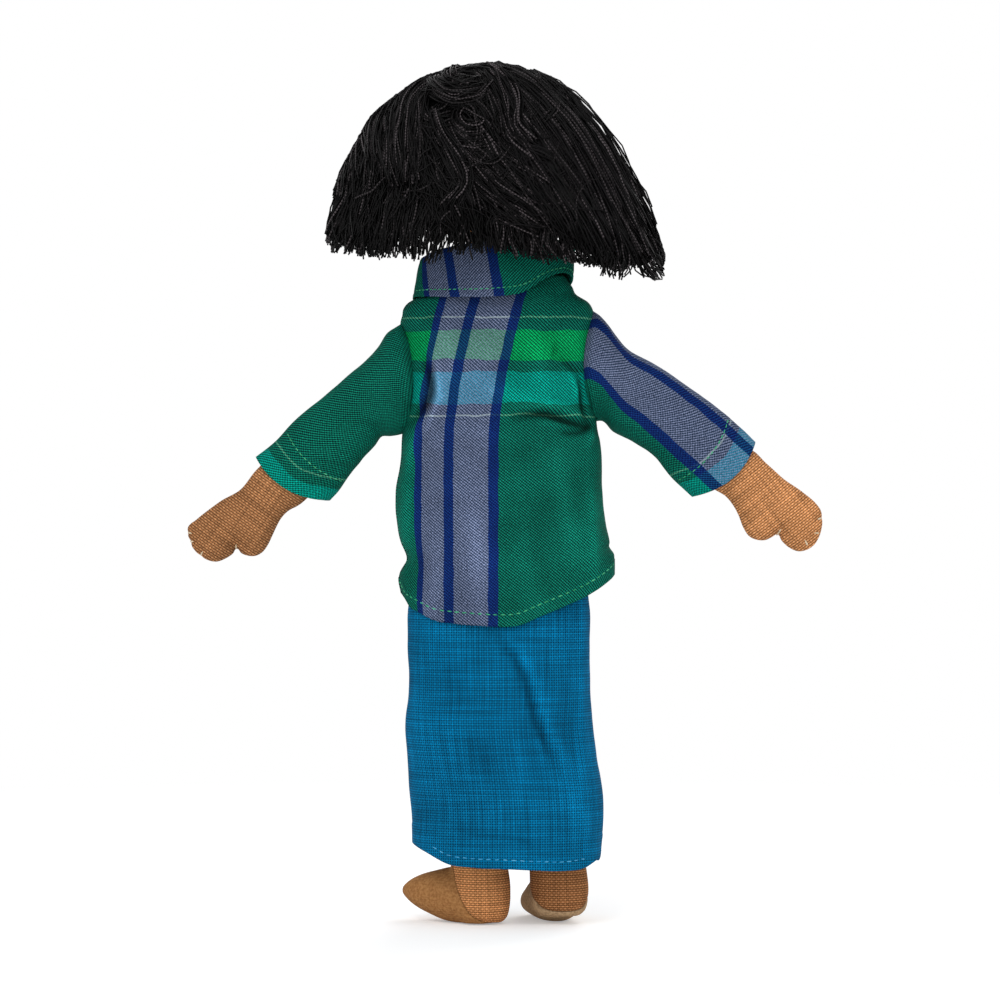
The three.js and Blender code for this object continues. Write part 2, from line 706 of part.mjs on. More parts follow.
// Stuffed arm with a mitten hand, whose outline runs along and across from the wrist,
// with the thumb below, and its depth as a share of the hand's
function makeArm(side) {
  const plan = armPlan(side);
  const slope = radians(handSlopes[side]);
  const along = new THREE.Vector2(Math.cos(slope), -Math.sin(slope));
  const across = new THREE.Vector2(Math.sin(slope), Math.cos(slope));
  const place = (far, up) => plan.wrist.clone().addScaledVector(along, far).addScaledVector(across, up);
  const armAcross = new THREE.Vector2(Math.sin(plan.slope), Math.cos(plan.slope));
  const half = (share) => armAcross.clone().multiplyScalar(lerp(upperArmWidth, wristWidth, share) / 2);
  const shares = [0, 0.25, 0.5, 0.75];
  const ribs = shares.map((share) => {
    const middle = plan.armholeMiddle.clone().lerp(plan.wrist, share);
    const swell = share === 0 ? 0.72 : 1;
    return {
      top: middle.clone().addScaledVector(half(share), swell),
      bottom: middle.clone().addScaledVector(half(share), -swell),
      depth: armStuffHalfDepth,
    };
  });
  const hand = [
    [0, 11, 0, -10.5, 1.09],
    [6, 10.5, 7, -12.5, 1.07],
    [11, 10.8, 11, -17, 1.01],
    [15, 11, 15.5, -19.6, 0.96],
    [19, 11, 20, -18.6, 0.91],
    [23, 11, 24, -15.2, 0.88],
    [29, 10.6, 30, -14, 0.83],
    [34.5, 9.4, 34.5, -12, 0.67],
    [39, 6.6, 38, -7.6, 0.43],
    [40.6, 1.6, 40.4, -2.4, 0.16],
  ];
  for (const [farTop, up, farBottom, down, share] of hand) {
    ribs.push({ top: place(farTop, up), bottom: place(farBottom, down), depth: share * handHalfDepth });
  }
  const noseRadius = sleeveHalfDepth - shirtCloth - restGap;
  const arm = solid(ribBody(ribs, 18, 2)).intersect(shoulderNose(plan.pivot, noseRadius));
  const sleeveWall = sleeveBody(side, -restGap, 0).subtract(sleeveBody(side, shirtCloth + restGap, 8));
  return arm.subtract(sleeveWall);
}

// Leg: a thigh with a round end in the seat of the skirt, an ankle and a foot that turns out
function legForm(side) {
  const sign = side === "left" ? 1 : -1;
  const hipX = trunkShift + sign * legSpacing;
  const ankleX = side === "left" ? leftAnkleX : rightAnkleX;
  const level = (share, z, w, d) => ({ x: lerp(ankleX, hipX, share), z, w, d });
  const kneeHeight = lerp(instepHeight, hipHeight, 0.5);
  const belowHip = slab(-hipHeight, hipHeight);
  const hipEnd = seatDome(-skirtCloth - restGap).add(belowHip);
  const leg = solid(
    levelBody(
      [
        level(0, -flatDepth, ankleRadius * 0.72, ankleRadius * 0.7),
        level(0, 3, ankleRadius * 0.94, ankleRadius * 0.92),
        level(0, 9, ankleRadius, ankleRadius),
        level(0.1, instepHeight + 4, ankleRadius - 0.4, ankleRadius - 0.6),
        level(0.5, kneeHeight, lerp(ankleRadius, thighHalfWidth, 0.6), ankleRadius),
        level(0.9, hipHeight - 25, thighHalfWidth, thighHalfDepth * 0.8),
        level(1, hipHeight, thighHalfWidth, thighHalfDepth),
        level(1, hipHeight + skirtHalfDepth, thighHalfWidth * 0.6, thighHalfDepth * 0.5),
      ],
      2,
      18,
      2,
    ),
  ).intersect(hipEnd);
  const foot = ribBody(
    [
      { far: -8, top: 12, low: 4, half: 5 },
      { far: -3, top: instepHeight - 4, low: -flatDepth, half: footHalfWidth - 2 },
      { far: 6, top: instepHeight - 1, low: -flatDepth, half: footHalfWidth },
      { far: 16, top: instepHeight - 4.5, low: -flatDepth, half: footHalfWidth },
      { far: 26, top: instepHeight - 7.5, low: toeLift * 0.22, half: footHalfWidth - 1 },
      { far: footLength - 18, top: instepHeight - 9, low: toeLift * 0.62, half: footHalfWidth - 3.4 },
      { far: footLength - 12.6, top: instepHeight - 10.4, low: toeLift, half: footHalfWidth - 7.5 },
      { far: footLength - 11, top: instepHeight - 12, low: toeLift + 2, half: 1 },
    ].map(({ far, top, low, half }) => ({
      top: new THREE.Vector2(far, top),
      bottom: new THREE.Vector2(far, low),
      depth: half,
    })),
    18,
    2.2,
  );
  foot.rotateZ(radians(footTurns[side] - 90));
  foot.translate(ankleX, 0, 0);
  return leg.add(solid(foot)).intersect(slab(0, farOut));
}

function makeLeg(side) {
  return legForm(side).intersect(slab(soleHeight + restGap, farOut));
}

function makeSole(side) {
  return legForm(side).intersect(slab(-soleHeight, soleHeight));
}

// Finishes
const tanCotton = { color: 0xb57b4e, roughness: 0.9, metalness: 0 };
const paleCotton = { color: 0xc69a72, roughness: 0.9, metalness: 0 };
const greenPlaid = { color: 0x0f7355, roughness: 0.8, metalness: 0 };
const blueCloth = { color: 0x0a74a8, roughness: 0.85, metalness: 0 };
const blackThread = { color: 0x0a0909, roughness: 0.6, metalness: 0 };
const redThread = { color: 0x8e2f2a, roughness: 0.7, metalness: 0 };
const creamResin = { color: 0xe6dcc6, roughness: 0.4, metalness: 0 };

const doll = new THREE.Group();

function piece(parent, name, body, finish) {
  const mesh = new THREE.Mesh(shape(body), new THREE.MeshStandardMaterial(finish));
  mesh.name = name;
  parent.add(mesh);
}

const trunk = new THREE.Group();
const shirt = makeShirt();
piece(trunk, "torso", makeTorso(), tanCotton);
piece(trunk, "shirt_back", shirt.back, greenPlaid);
piece(trunk, "shirt_front_left", shirt.left, greenPlaid);
piece(trunk, "shirt_front_right", shirt.right, greenPlaid);
piece(trunk, "collar", makeCollar(), greenPlaid);
piece(trunk, "skirt_waistband", makeWaistband(), blueCloth);
for (let number = 0; number < buttonCount; number++) {
  piece(trunk, `button_${number + 1}`, makeButton(number), creamResin);
}

const head = new THREE.Group();
const hair = makeHair();
piece(head, "head", makeHead(), tanCotton);
piece(head, "hair_back", hair.back, blackThread);
piece(head, "hair_fringe", hair.fringe, blackThread);
piece(head, "eye_left", makeEye(1), blackThread);
piece(head, "eye_right", makeEye(-1), blackThread);
piece(head, "eyebrow_left", makeFaceLine(eyeSpacing, eyeRise + browRise, browHalfWidth, 1.6), blackThread);
piece(head, "eyebrow_right", makeFaceLine(-eyeSpacing, eyeRise + browRise, browHalfWidth, 1.6), blackThread);
piece(head, "mouth", makeFaceLine(0, eyeRise - mouthDrop, mouthHalfWidth, -2), redThread);

const armholeX = chestHalfWidth + restGap + shirtCloth;
const leftArm = new THREE.Group();
leftArm.position.set(trunkShift + armholeX, 0, shoulderHeight - shoulderTilt);
piece(leftArm, "arm_left", makeArm("left"), tanCotton);
piece(leftArm, "sleeve_left", makeSleeve("left"), greenPlaid);

const rightArm = new THREE.Group();
rightArm.position.set(trunkShift - armholeX, 0, shoulderHeight + shoulderTilt);
rightArm.scale.x = -1;
piece(rightArm, "arm_right", makeArm("right"), tanCotton);
piece(rightArm, "sleeve_right", makeSleeve("right"), greenPlaid);

const legs = new THREE.Group();
piece(legs, "skirt", makeSkirt(), blueCloth);
for (const side of ["left", "right"]) {
  piece(legs, `leg_${side}`, makeLeg(side), tanCotton);
  piece(legs, `sole_${side}`, makeSole(side), paleCotton);
}

doll.add(trunk, head, leftArm, rightArm, legs);
export default doll;
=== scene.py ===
import math
import random
from functools import partial

import bpy
import numpy as np
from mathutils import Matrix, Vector, noise
from mathutils.bvhtree import BVHTree
from mathutils.geometry import delaunay_2d_cdt


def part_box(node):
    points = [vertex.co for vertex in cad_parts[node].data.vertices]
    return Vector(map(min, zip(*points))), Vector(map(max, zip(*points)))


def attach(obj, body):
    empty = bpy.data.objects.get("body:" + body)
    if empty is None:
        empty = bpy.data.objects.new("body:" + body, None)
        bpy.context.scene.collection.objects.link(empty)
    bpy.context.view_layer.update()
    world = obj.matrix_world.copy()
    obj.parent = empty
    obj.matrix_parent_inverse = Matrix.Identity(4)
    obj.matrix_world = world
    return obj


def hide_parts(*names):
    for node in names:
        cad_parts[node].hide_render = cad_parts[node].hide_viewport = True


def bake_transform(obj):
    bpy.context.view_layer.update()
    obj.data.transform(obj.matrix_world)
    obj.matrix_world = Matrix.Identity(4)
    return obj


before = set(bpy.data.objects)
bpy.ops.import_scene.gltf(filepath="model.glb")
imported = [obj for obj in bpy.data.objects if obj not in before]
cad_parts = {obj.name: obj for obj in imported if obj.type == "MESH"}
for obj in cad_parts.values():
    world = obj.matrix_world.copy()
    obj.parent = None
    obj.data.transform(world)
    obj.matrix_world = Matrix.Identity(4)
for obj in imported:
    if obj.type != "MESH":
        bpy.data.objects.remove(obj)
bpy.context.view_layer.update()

print("frame loaded:", len(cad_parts), "nodes")

# A stuffed cloth doll seen from behind. Sizes are in millimetres in the CAD's frame:
# X to the doll's left, Y behind it, Z up. They turn to metres when a mesh is made.
unit = 0.001

# where the photograph was taken from, and what its width covers at the middle of the doll
photoCamera = {"side": 2.1, "height": 177.7, "distance": 1600, "frameWidth": 420}


def makeCamera():
    place = [photoCamera[key] * unit for key in ("side", "distance", "height")]
    bpy.ops.object.camera_add(location=place, rotation=(math.radians(90), 0, math.radians(180)))
    camera = bpy.context.object
    camera.data.lens = camera.data.sensor_width * photoCamera["distance"] / photoCamera["frameWidth"]
    camera.data.clip_end = 30
    bpy.context.scene.camera = camera


makeCamera()
print("camera placed")


# A smooth line through values that are known at some places
def smooth(keys, values, places):
    keys, values = np.asarray(keys, float), np.asarray(values, float)
    slopes = np.gradient(values, keys, axis=0)
    places = np.clip(np.asarray(places, float), keys[0], keys[-1])
    low = np.clip(np.searchsorted(keys, places) - 1, 0, len(keys) - 2)
    gap = keys[low + 1] - keys[low]
    t = (places - keys[low]) / gap
    if values.ndim > 1:
        gap, t = gap[..., None], t[..., None]
    start = (2 * t**3 - 3 * t**2 + 1) * values[low] + (t**3 - 2 * t**2 + t) * gap * slopes[low]
    return start + (3 * t**2 - 2 * t**3) * values[low + 1] + (t**3 - t**2) * gap * slopes[low + 1]


# Distance from the first point along an axis of a line or a grid of points
def runLength(points, axis=0):
    steps = np.linalg.norm(np.diff(points, axis=axis), axis=-1)
    return np.cumsum(np.insert(steps, 0, 0, axis=axis), axis=axis)


# Distance along each row of a closed grid from one of its columns
def rowDistance(points, start):
    along = runLength(np.concatenate([points, points[:, :1]], axis=1), 1)
    return along - along[:, start : start + 1]


# A smooth line through points, by their distance, as count points
def smoothPath(points, count):
    points = np.asarray(points, float)
    along = runLength(points)
    return smooth(along, points, np.linspace(0, along[-1], count))


# Sideways and outward shares round a section: it starts at the doll's left, then goes behind
def section(count, roundness=2):
    turn = np.linspace(0, 2 * math.pi, count, endpoint=False)
    shares = np.array([np.cos(turn), np.sin(turn)])
    return np.sign(shares) * np.abs(shares) ** (2 / roundness)


def selectOnly(piece, *others):
    bpy.ops.object.select_all(action="DESELECT")
    for each in (piece, *others):
        each.select_set(True)
    bpy.context.view_layer.objects.active = piece


def joinPieces(name, pieces):
    selectOnly(*pieces)
    if len(pieces) > 1:
        bpy.ops.object.join()
    pieces[0].name = pieces[0].data.name = name
    return pieces[0]


def applyModifier(piece, kind, **settings):
    selectOnly(piece)
    modifier = piece.modifiers.new(kind.title(), kind)
    for key, value in settings.items():
        setattr(modifier, key, value)
    bpy.ops.object.modifier_apply(modifier=modifier.name)


def turnOutwards(piece):
    selectOnly(piece)
    bpy.ops.object.mode_set(mode="EDIT")
    bpy.ops.mesh.select_all(action="SELECT")
    bpy.ops.mesh.delete_loose()
    bpy.ops.mesh.select_all(action="SELECT")
    bpy.ops.mesh.normals_make_consistent(inside=False)
    bpy.ops.object.mode_set(mode="OBJECT")


def shadeSmooth(piece):
    piece.data.polygons.foreach_set("use_smooth", [True] * len(piece.data.polygons))


# A mesh from points in millimetres
def makeMesh(name, points, faces):
    mesh = bpy.data.meshes.new(name)
    mesh.from_pydata((np.asarray(points, float) * unit).tolist(), [], [list(map(int, face)) for face in faces])
    mesh.validate()
    piece = bpy.data.objects.new(name, mesh)
    bpy.context.scene.collection.objects.link(piece)
    return piece


# Places in millimetres or normals of a mesh's points, and the point of each corner
def pointsOf(piece, kind="co"):
    values = np.empty(len(piece.data.vertices) * 3)
    piece.data.vertices.foreach_get(kind, values)
    return values.reshape(-1, 3) / (unit if kind == "co" else 1)


def cornersOf(piece):
    corners = np.empty(len(piece.data.loops), int)
    piece.data.loops.foreach_get("vertex_index", corners)
    return corners


def setPoints(piece, points):
    piece.data.vertices.foreach_set("co", (points * unit).ravel())
    piece.data.update()


# Keeps a place of the flat cloth or thread at each corner, and a value at each point
def setMap(piece, name, flat):
    piece.data.uv_layers.new(name=name).data.foreach_set("uv", np.asarray(flat).ravel())


def keepValues(piece, name, values):
    piece.data.attributes.new(name, "FLOAT", "POINT").data.foreach_set("value", np.asarray(values, "f").ravel())


def gridFaces(rows, columns, closed=False):
    row, column = np.meshgrid(np.arange(rows - 1), np.arange(columns - (not closed)), indexing="ij")
    here, beside = row * columns + column, row * columns + (column + 1) % columns
    return np.stack([here, beside, beside + columns, here + columns], axis=-1).reshape(-1, 4)


# A capped tube through rings of points
def tubePiece(name, points):
    rows, columns = points.shape[:2]
    caps = [list(range(columns))[::-1], list(range((rows - 1) * columns, rows * columns))]
    return makeMesh(name, points.reshape(-1, 3), gridFaces(rows, columns, True).tolist() + caps)


# A cloth with its thickness through a grid of points. A closed one has a column more of flat places.
def clothPiece(name, points, flat, thickness, lift=None):
    closed = flat.shape[1] > points.shape[1]
    piece = makeMesh(name, points.reshape(-1, 3), gridFaces(*points.shape[:2], closed))
    setMap(piece, "clothMap", flat.reshape(-1, 2)[gridFaces(*flat.shape[:2])])
    if lift is not None:
        keepValues(piece, "creaseHeight", lift)
    # the faces point away from the doll's middle line
    middle = Vector((trunk["middle"] * unit, 0))
    if sum(face.normal.xy.dot(face.center.xy - middle) * face.area for face in piece.data.polygons) < 0:
        piece.data.flip_normals()
    applyModifier(piece, "SOLIDIFY", thickness=thickness * unit, offset=-1)
    shadeSmooth(piece)
    return piece


# Outward directions of a grid, away from its middle line
def gridNormals(points, closed=True):
    if closed:
        wide = np.concatenate([points[:, -1:], points, points[:, :1]], axis=1)
        across = np.gradient(wide, axis=1)[:, 1:-1]
    else:
        across = np.gradient(points, axis=1)
    normals = np.cross(across, np.gradient(points, axis=0))
    normals /= np.linalg.norm(normals, axis=-1, keepdims=True) + 1e-9
    outward = points - points.mean(axis=1, keepdims=True)
    return normals if (normals * outward).sum() >= 0 else -normals


# Smooth random values from -1 to 1, one for each point
def lumps(points, size, seed):
    shift = Vector((seed * 7.31, seed * 3.17, seed * 5.53))
    values = [noise.noise(Vector(point) / size + shift) for point in points.reshape(-1, 3).tolist()]
    return np.asarray(values).reshape(points.shape[:-1])


# Slow lumps where a cloth is loose, and fine ones all over: size, seed and height of both
def lumpyCloth(points, kinds, loose=1):
    (size, seed, height), (fineSize, fineSeed, fineHeight) = kinds
    return lumps(points, size, seed) * height * loose + lumps(points, fineSize, fineSeed) * fineHeight


# How much of a fold reaches each point: 1 on its line, and nothing beyond its width
def foldShare(x, z, start, end, width):
    start, line = np.asarray(start, float), np.subtract(end, start)
    inside = np.clip(((x - start[0]) * line[0] + (z - start[1]) * line[1]) / (line @ line), 0, 1)
    away = np.hypot(x - start[0] - inside * line[0], z - start[1] - inside * line[1])
    return np.exp(-((away / width) ** 1.6)) * np.sin(np.pi * np.clip(inside * 0.86 + 0.07, 0, 1)) ** 0.6


# A crease along a line of (x, z) points: 1 on it, fading out sideways and at its ends
def creaseShare(x, z, line, width):
    path = smoothPath(line, 60)
    away = np.hypot(x[..., None] - path[:, 0], z[..., None] - path[:, 1])
    share = np.argmin(away, axis=-1) / 59
    return np.exp(-((away.min(axis=-1) / width) ** 2)) * np.sqrt(np.sin(math.pi * np.clip(share, 0.03, 0.97)))


# How far folds or creases raise the cloth: each has its line, its width and its height
def raised(share, x, z, folds):
    return sum(share(x, z, *place) * height for *place, height in folds)


def finish(piece, body, slot, material, *nodes):
    piece.data.materials.clear()
    piece.data.materials.append(material)
    if body:
        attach(piece, body)
    if nodes:
        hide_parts(*nodes)


# Places and normals where (x, z) points meet a piece at rest, from behind or, with face -1, in front
def dropOnto(piece, line, face=1):
    mesh = piece.data
    tree = BVHTree.FromPolygons([v.co for v in mesh.vertices], [list(p.vertices) for p in mesh.polygons])
    found = []
    for x, z in line:
        place, normal, _, _ = tree.ray_cast(Vector((x, 260 * face, z)) * unit, Vector((0, -face, 0)))
        if place is not None:
            found.append((np.array(place) / unit, np.array(normal) * (1 if normal.y * face > 0 else -1)))
    return found


# Thread stitches along a line of places with their normals, all in one mesh
def stitchPiece(name, spots, spacing, length, radius, sink=0.3, unevenness=0.12, seed=1):
    draws = random.Random(seed)
    places, normals = (np.array(part) for part in zip(*spots))
    along = runLength(places)
    sides, rings = 6, 5
    points, faces = [], []

    def between(values, place):
        return np.array([np.interp(place, along, values[:, k]) for k in range(3)])

    at = spacing / 2
    while at < along[-1] - length / 2:
        forward = between(places, at + length / 2) - between(places, at - length / 2)
        forward /= np.linalg.norm(forward)
        out = between(normals, at)
        middle = between(places, at)
        turn = draws.uniform(-unevenness, unevenness)
        forward = forward * math.cos(turn) + np.cross(out, forward) * math.sin(turn)
        beside = np.cross(out, forward)
        half = length / 2 * draws.uniform(0.85, 1.1)
        first = len(points)
        for share in np.linspace(-1, 1, rings + 1):
            thick = radius * math.sqrt(max(0.06, 1 - abs(share) ** 3))
            lift = radius * (1 - sink) * (1 - share**2) - radius * 0.2
            centre = middle + forward * share * half + out * lift
            for angle in np.linspace(0, 2 * math.pi, sides, endpoint=False):
                points.append(centre + (beside * math.cos(angle) + out * math.sin(angle)) * thick)
        faces += (gridFaces(rings + 1, sides, True) + first).tolist()
        faces += [range(first + sides - 1, first - 1, -1), range(first + rings * sides, len(points))]
        at += spacing * draws.uniform(0.93, 1.07)
    piece = makeMesh(name, points, faces)
    shadeSmooth(piece)
    return piece


# Stitches along (x, z) points on the back of a piece, or on its front with face -1
def sewnLine(name, onto, line, body, slot, material, face=1, **stitch):
    piece = stitchPiece(name, dropOnto(onto, line, face), **stitch)
    finish(piece, body, slot, material)
    return piece


# ---- materials


def linear(hexColour):
    parts = [int(hexColour[i : i + 2], 16) / 255 for i in (1, 3, 5)]
    return tuple(p / 12.92 if p <= 0.04045 else ((p + 0.055) / 1.055) ** 2.4 for p in parts) + (1.0,)


# Adds a node with its settings, its links or values in order or by name, and the stops of a colour
# ramp. The kind may name an operation. A node given as a value is linked from its first output.
def addNode(tree, kind, inputs=(), stops=(), **settings):
    kind, _, operation = kind.partition(" ")
    node = tree.nodes.new("ShaderNode" + kind)
    if operation:
        node.operation = operation
    for key, value in settings.items():
        setattr(node, key, value)
    if stops:
        elements = node.color_ramp.elements
        while len(elements) < len(stops):
            elements.new(0.5)
        for _ in range(2):  # again, because the ramp may sort its stops
            for element, (place, colour) in zip(elements, stops):
                element.position = place
                element.color = linear(colour) if isinstance(colour, str) else (colour, colour, colour, 1)
    for socket, value in inputs.items() if isinstance(inputs, dict) else enumerate(inputs):
        if isinstance(value, bpy.types.Node):
            value = value.outputs[0]
        if isinstance(value, bpy.types.NodeSocket):
            tree.links.new(value, node.inputs[socket])
        else:
            node.inputs[socket].default_value = value
    return node


# A material whose surface is what build adds
def newMaterial(name, build, *values):
    material = bpy.data.materials.new(name)
    material.use_nodes = True
    material.node_tree.nodes.clear()
    add = partial(addNode, material.node_tree)
    add("OutputMaterial", [build(add, *values)])
    return material


# The last nodes of every finish: how it shines, and the bump of its threads
def surfaceOf(add, colour, roughness, gloss, height=None, strength=0.5, depth=0.00015, ior=1.5):
    values = {"Base Color": colour, "Roughness": roughness, "IOR": ior, "Specular IOR Level": gloss}
    if height is not None:
        values["Normal"] = add("Bump", {"Height": height, "Strength": strength, "Distance": depth})
    return add("BsdfPrincipled", values)


# The piece's flat places, in millimetres
def flatPlaces(add, name="clothMap"):
    place = add("UVMap", uv_map=name)
    parts = add("SeparateXYZ", [place])
    return place, parts.outputs[0], parts.outputs[1]


# Uneven dye and threads: each source varies the tone by its spread
def unevenTone(add, tone, edge, *sources):
    for source, spread in sources:
        share = add("MapRange", [source, edge, 1 - edge, 1 - spread / 2, 1 + spread / 2])
        tone = add("Math MULTIPLY", [tone, share])
    return tone


# Painted shade in creases and hollows, and a painted highlight on ridges: the piece's own attribute, 0 where flat
def creaseShadeAndHighlight(add, strength):
    crease = add("Attribute", attribute_name="creaseHeight", attribute_type="GEOMETRY")
    return add("MapRange", [crease.outputs["Fac"], -2, 2, 1 - 2 * strength, 1 + 1.4 * strength])


# Plain weave: where the weft lies on top, the height of the threads, and uneven hand-spun threads
def weave(add, across, along, thread, rows):
    waves = [add("Math SINE", [add("Math MULTIPLY", [way, math.pi / thread])]) for way in (across, along)]
    top = add("Math MULTIPLY_ADD", [add("Math MULTIPLY", waves), 0.5, 0.5])
    # between the threads only the corners of the weave are open
    gaps = [
        add("Math MULTIPLY_ADD", [add("Math MULTIPLY", [wave, wave]), -share, 1]) for wave, share in zip(waves, rows)
    ]
    height = add("Math SUBTRACT", [1, add("Math MULTIPLY", gaps)])
    streaks = []
    for sideways, lengthways in ((0.9, 0.035), (0.035, 0.9)):
        first = add("Math MULTIPLY", [across, sideways / thread])
        second = add("Math MULTIPLY", [along, lengthways / thread])
        place = add("CombineXYZ", [first, second])
        streaks.append(add("TexNoise", {"Vector": place, "Scale": 1.0, "Detail": 1.0}))
    return top, height, streaks


# Twill weave: diagonal lines of threads on top, broken into short steps
def twill(add, across, along, pitch):
    waves = []
    for toAcross, toAlong, size in ((0.62, -0.79, pitch), (0.79, 0.62, pitch * 0.87)):
        turn = 2 * math.pi / size
        first = add("Math MULTIPLY", [across, toAcross * turn])
        waves.append(add("Math SINE", [add("Math MULTIPLY_ADD", [along, toAlong * turn, first])]))
    lines = add("Math MULTIPLY_ADD", [waves[0], 0.62, 0.5])
    return add("Math MULTIPLY_ADD", [waves[1], 0.36, lines], use_clamp=True)


# Handloomed cotton plaid, dyed before weaving: each colour is pure in its own threads, so that
# the stripes mix where they cross. Its dry, hairy threads leave it quite matt.
plaid = {
    "pitch": 0.98,  # drawn coarser than the real 0.6 mm twill lines, so that the weave shows
    "warpRange": 60,
    "weftRange": (200, 260),
    # the warp's upright stripes: base, navy stripe, and the two threads of the grey
    "base": "#022E30",
    "stripe": "#0D155F",
    "greyLight": "#6E7792",
    "greyDark": "#1A2650",
    # the weft's bands on the base and on the grey: base, pale thread, teal, bright green
    "weft": ("#0B7A61", "#4F9C7C", "#009B88", "#00A658"),
    "weftOnGrey": ("#2A4054", "#9FB0B4", "#2E8FAF", "#4C9A70"),
    "cover": (0.3, 0.6, 0.52, 0.52),  # how much of the warp each of these hides
    "stripeCover": 0.15,  # the navy threads are thick and lie mostly on top
}


def plaidCotton(add):
    place, across, along = flatPlaces(add)
    # the rows of threads aren't quite straight
    drift = add("Math SUBTRACT", [add("TexNoise", {"Vector": place, "Scale": 0.09, "Detail": 2.0}), 0.5])
    wavyAcross = add("Math MULTIPLY_ADD", [drift, 1.3, across])
    wavyAlong = add("Math MULTIPLY_ADD", [drift, 3.2, along])

    def bands(value, low, high, background, stops):
        share = add("MapRange", [value, low, high, 0, 1])
        places = [(0, background)] + [((edge - low) / (high - low), colour) for edge, colour in stops]
        ramp = add("ValToRGB", [share], places)
        ramp.color_ramp.interpolation = "CONSTANT"
        return ramp

    def warp(grey, stripe, base):
        edges = (2.8, stripe), (6.9, grey), (21.1, stripe), (25.6, grey), (35.5, stripe), (38.6, base)
        return bands(wavyAcross, -plaid["warpRange"], plaid["warpRange"], base, edges)

    def weft(base, pale, teal, bright):
        edges = (212.5, pale), (213.2, base), (217.6, teal), (231.0, base), (236.0, bright), (248.6, base)
        return bands(wavyAlong, *plaid["weftRange"], base, (*edges, (253.7, pale), (254.5, base)))

    top = twill(add, across, along, plaid["pitch"])
    lightWarp = warp(plaid["greyLight"], plaid["stripe"], plaid["base"])
    darkWarp = warp(plaid["greyDark"], plaid["stripe"], plaid["base"])
    isGrey, isStripe = warp(1.0, 0.0, 0.0), warp(0.0, 1.0, 0.0)
    # in the grey stripes white and navy threads take turns
    speck = add("TexNoise", {"Vector": place, "Scale": 1.3, "Detail": 2.0})
    pepper = add("Math ADD", [top, add("Math MULTIPLY_ADD", [speck, 1.1, -0.55])], use_clamp=True)
    warps = add("Mix", {0: pepper, 6: darkWarp, 7: lightWarp}, data_type="RGBA")
    wefts = add("Mix", {0: isGrey, 6: weft(*plaid["weft"]), 7: weft(*plaid["weftOnGrey"])}, data_type="RGBA")
    cover = weft(*plaid["cover"])
    swing = add("Math MULTIPLY_ADD", [cover, -1.5, 1.4])
    share = add("Math MULTIPLY_ADD", [swing, add("Math SUBTRACT", [0.5, top]), cover], use_clamp=True)
    share = add("Math MULTIPLY", [share, add("MapRange", [isStripe, 0, 1, 1, plaid["stripeCover"]])])
    cloth = add("Mix", {0: share, 6: warps.outputs[2], 7: wefts.outputs[2]}, data_type="RGBA")
    # the light threads stand out: the warp in the grey stripes, the weft elsewhere; the dye is uneven
    side = add("Math MULTIPLY_ADD", [isGrey, 1.5, -1.0])
    tone = add("Math MULTIPLY_ADD", [add("Math SUBTRACT", [top, 0.5]), side, 1])
    dye = add("TexNoise", {"Vector": place, "Scale": 0.05, "Detail": 3.0})
    tone = unevenTone(add, tone, 0.25, (dye, 0.3), (speck, 0.9))
    # creases and hollows get painted shade, ridges a painted highlight
    tone = add("Math MULTIPLY", [tone, creaseShadeAndHighlight(add, 0.42)])
    coloured = add("VectorMath SCALE", {0: cloth.outputs[2], "Scale": tone})
    return surfaceOf(add, coloured, 0.88, 0.06, top)


# A plain-woven cotton in one colour: lighter threads on top, darker holes between them.
# The dyed cotton is matt; its look comes from the round threads and the dark holes.
def cottonColour(add, thread, rows, colours, hole, gap):
    place, across, along = flatPlaces(add)
    top, height, (warpStreak, weftStreak) = weave(add, across, along, thread, rows)
    light, middle, dark = colours
    colour = add("ValToRGB", [top], [(0.1, dark), (0.5, middle), (0.9, light)])
    shade = add("MapRange", [height, gap, 0.98, hole, 1.14])
    dye = add("TexNoise", {"Vector": place, "Scale": 0.045, "Detail": 3.0})
    # creases and hollows get painted shade, ridges a painted highlight
    tone = add("Math MULTIPLY", [shade, creaseShadeAndHighlight(add, 0.32)])
    tone = unevenTone(add, tone, 0.3, (dye, 0.24), (warpStreak, 0.42), (weftStreak, 0.42))
    return add("VectorMath SCALE", {0: colour, "Scale": tone}), height


def plainCotton(add, thread, rows, colours, hole=0.3, gap=0.3, depth=0.0002):
    coloured, height = cottonColour(add, thread, rows, colours, hole, gap)
    return surfaceOf(add, coloured, 0.88, 0.06, height, 0.6, depth)


# Coarse tan cotton that turns into a finer cloth beyond a foot's seam: the piece's own attribute
# seamSide is below 0 on the coarse side, and its dark stitched groove lies where it is 0
def footCotton(add, colours, fineLight, fineDark):
    coarse, height = cottonColour(add, 0.96, (0.55, 1), colours, 0.3, 0.3)
    side = add("Attribute", attribute_name="seamSide", attribute_type="GEOMETRY").outputs["Fac"]
    fuzz = add("TexNoise", {"Vector": add("TexCoord").outputs["Object"], "Scale": 900.0, "Detail": 3.0})
    fine = add("ValToRGB", [fuzz], [(0.35, fineDark), (0.65, fineLight)])
    over = add("MapRange", [side, -0.1, 0.1, 0, 1])
    both = add("Mix", {0: over, 6: coarse, 7: fine}, data_type="RGBA")
    groove = add("MapRange", [add("Math ABSOLUTE", [side]), 0.05, 0.5, 0.5, 1])
    grooved = add("VectorMath SCALE", {0: both.outputs[2], "Scale": groove})
    return surfaceOf(add, grooved, 0.88, 0.06, height, 0.6, 0.0002)


# Mercerised sewing thread: smooth and slightly shiny along its length, with a fine twist
def threadFinish(add, dark, light, roughness=0.6, gloss=0.2):
    spots = add("TexNoise", {"Vector": add("TexCoord").outputs["Object"], "Scale": 260.0, "Detail": 2.0})
    colour = add("ValToRGB", [spots], [(0.35, dark), (0.68, light)])
    return surfaceOf(add, colour, roughness, gloss, spots, 0.4, 0.0001)
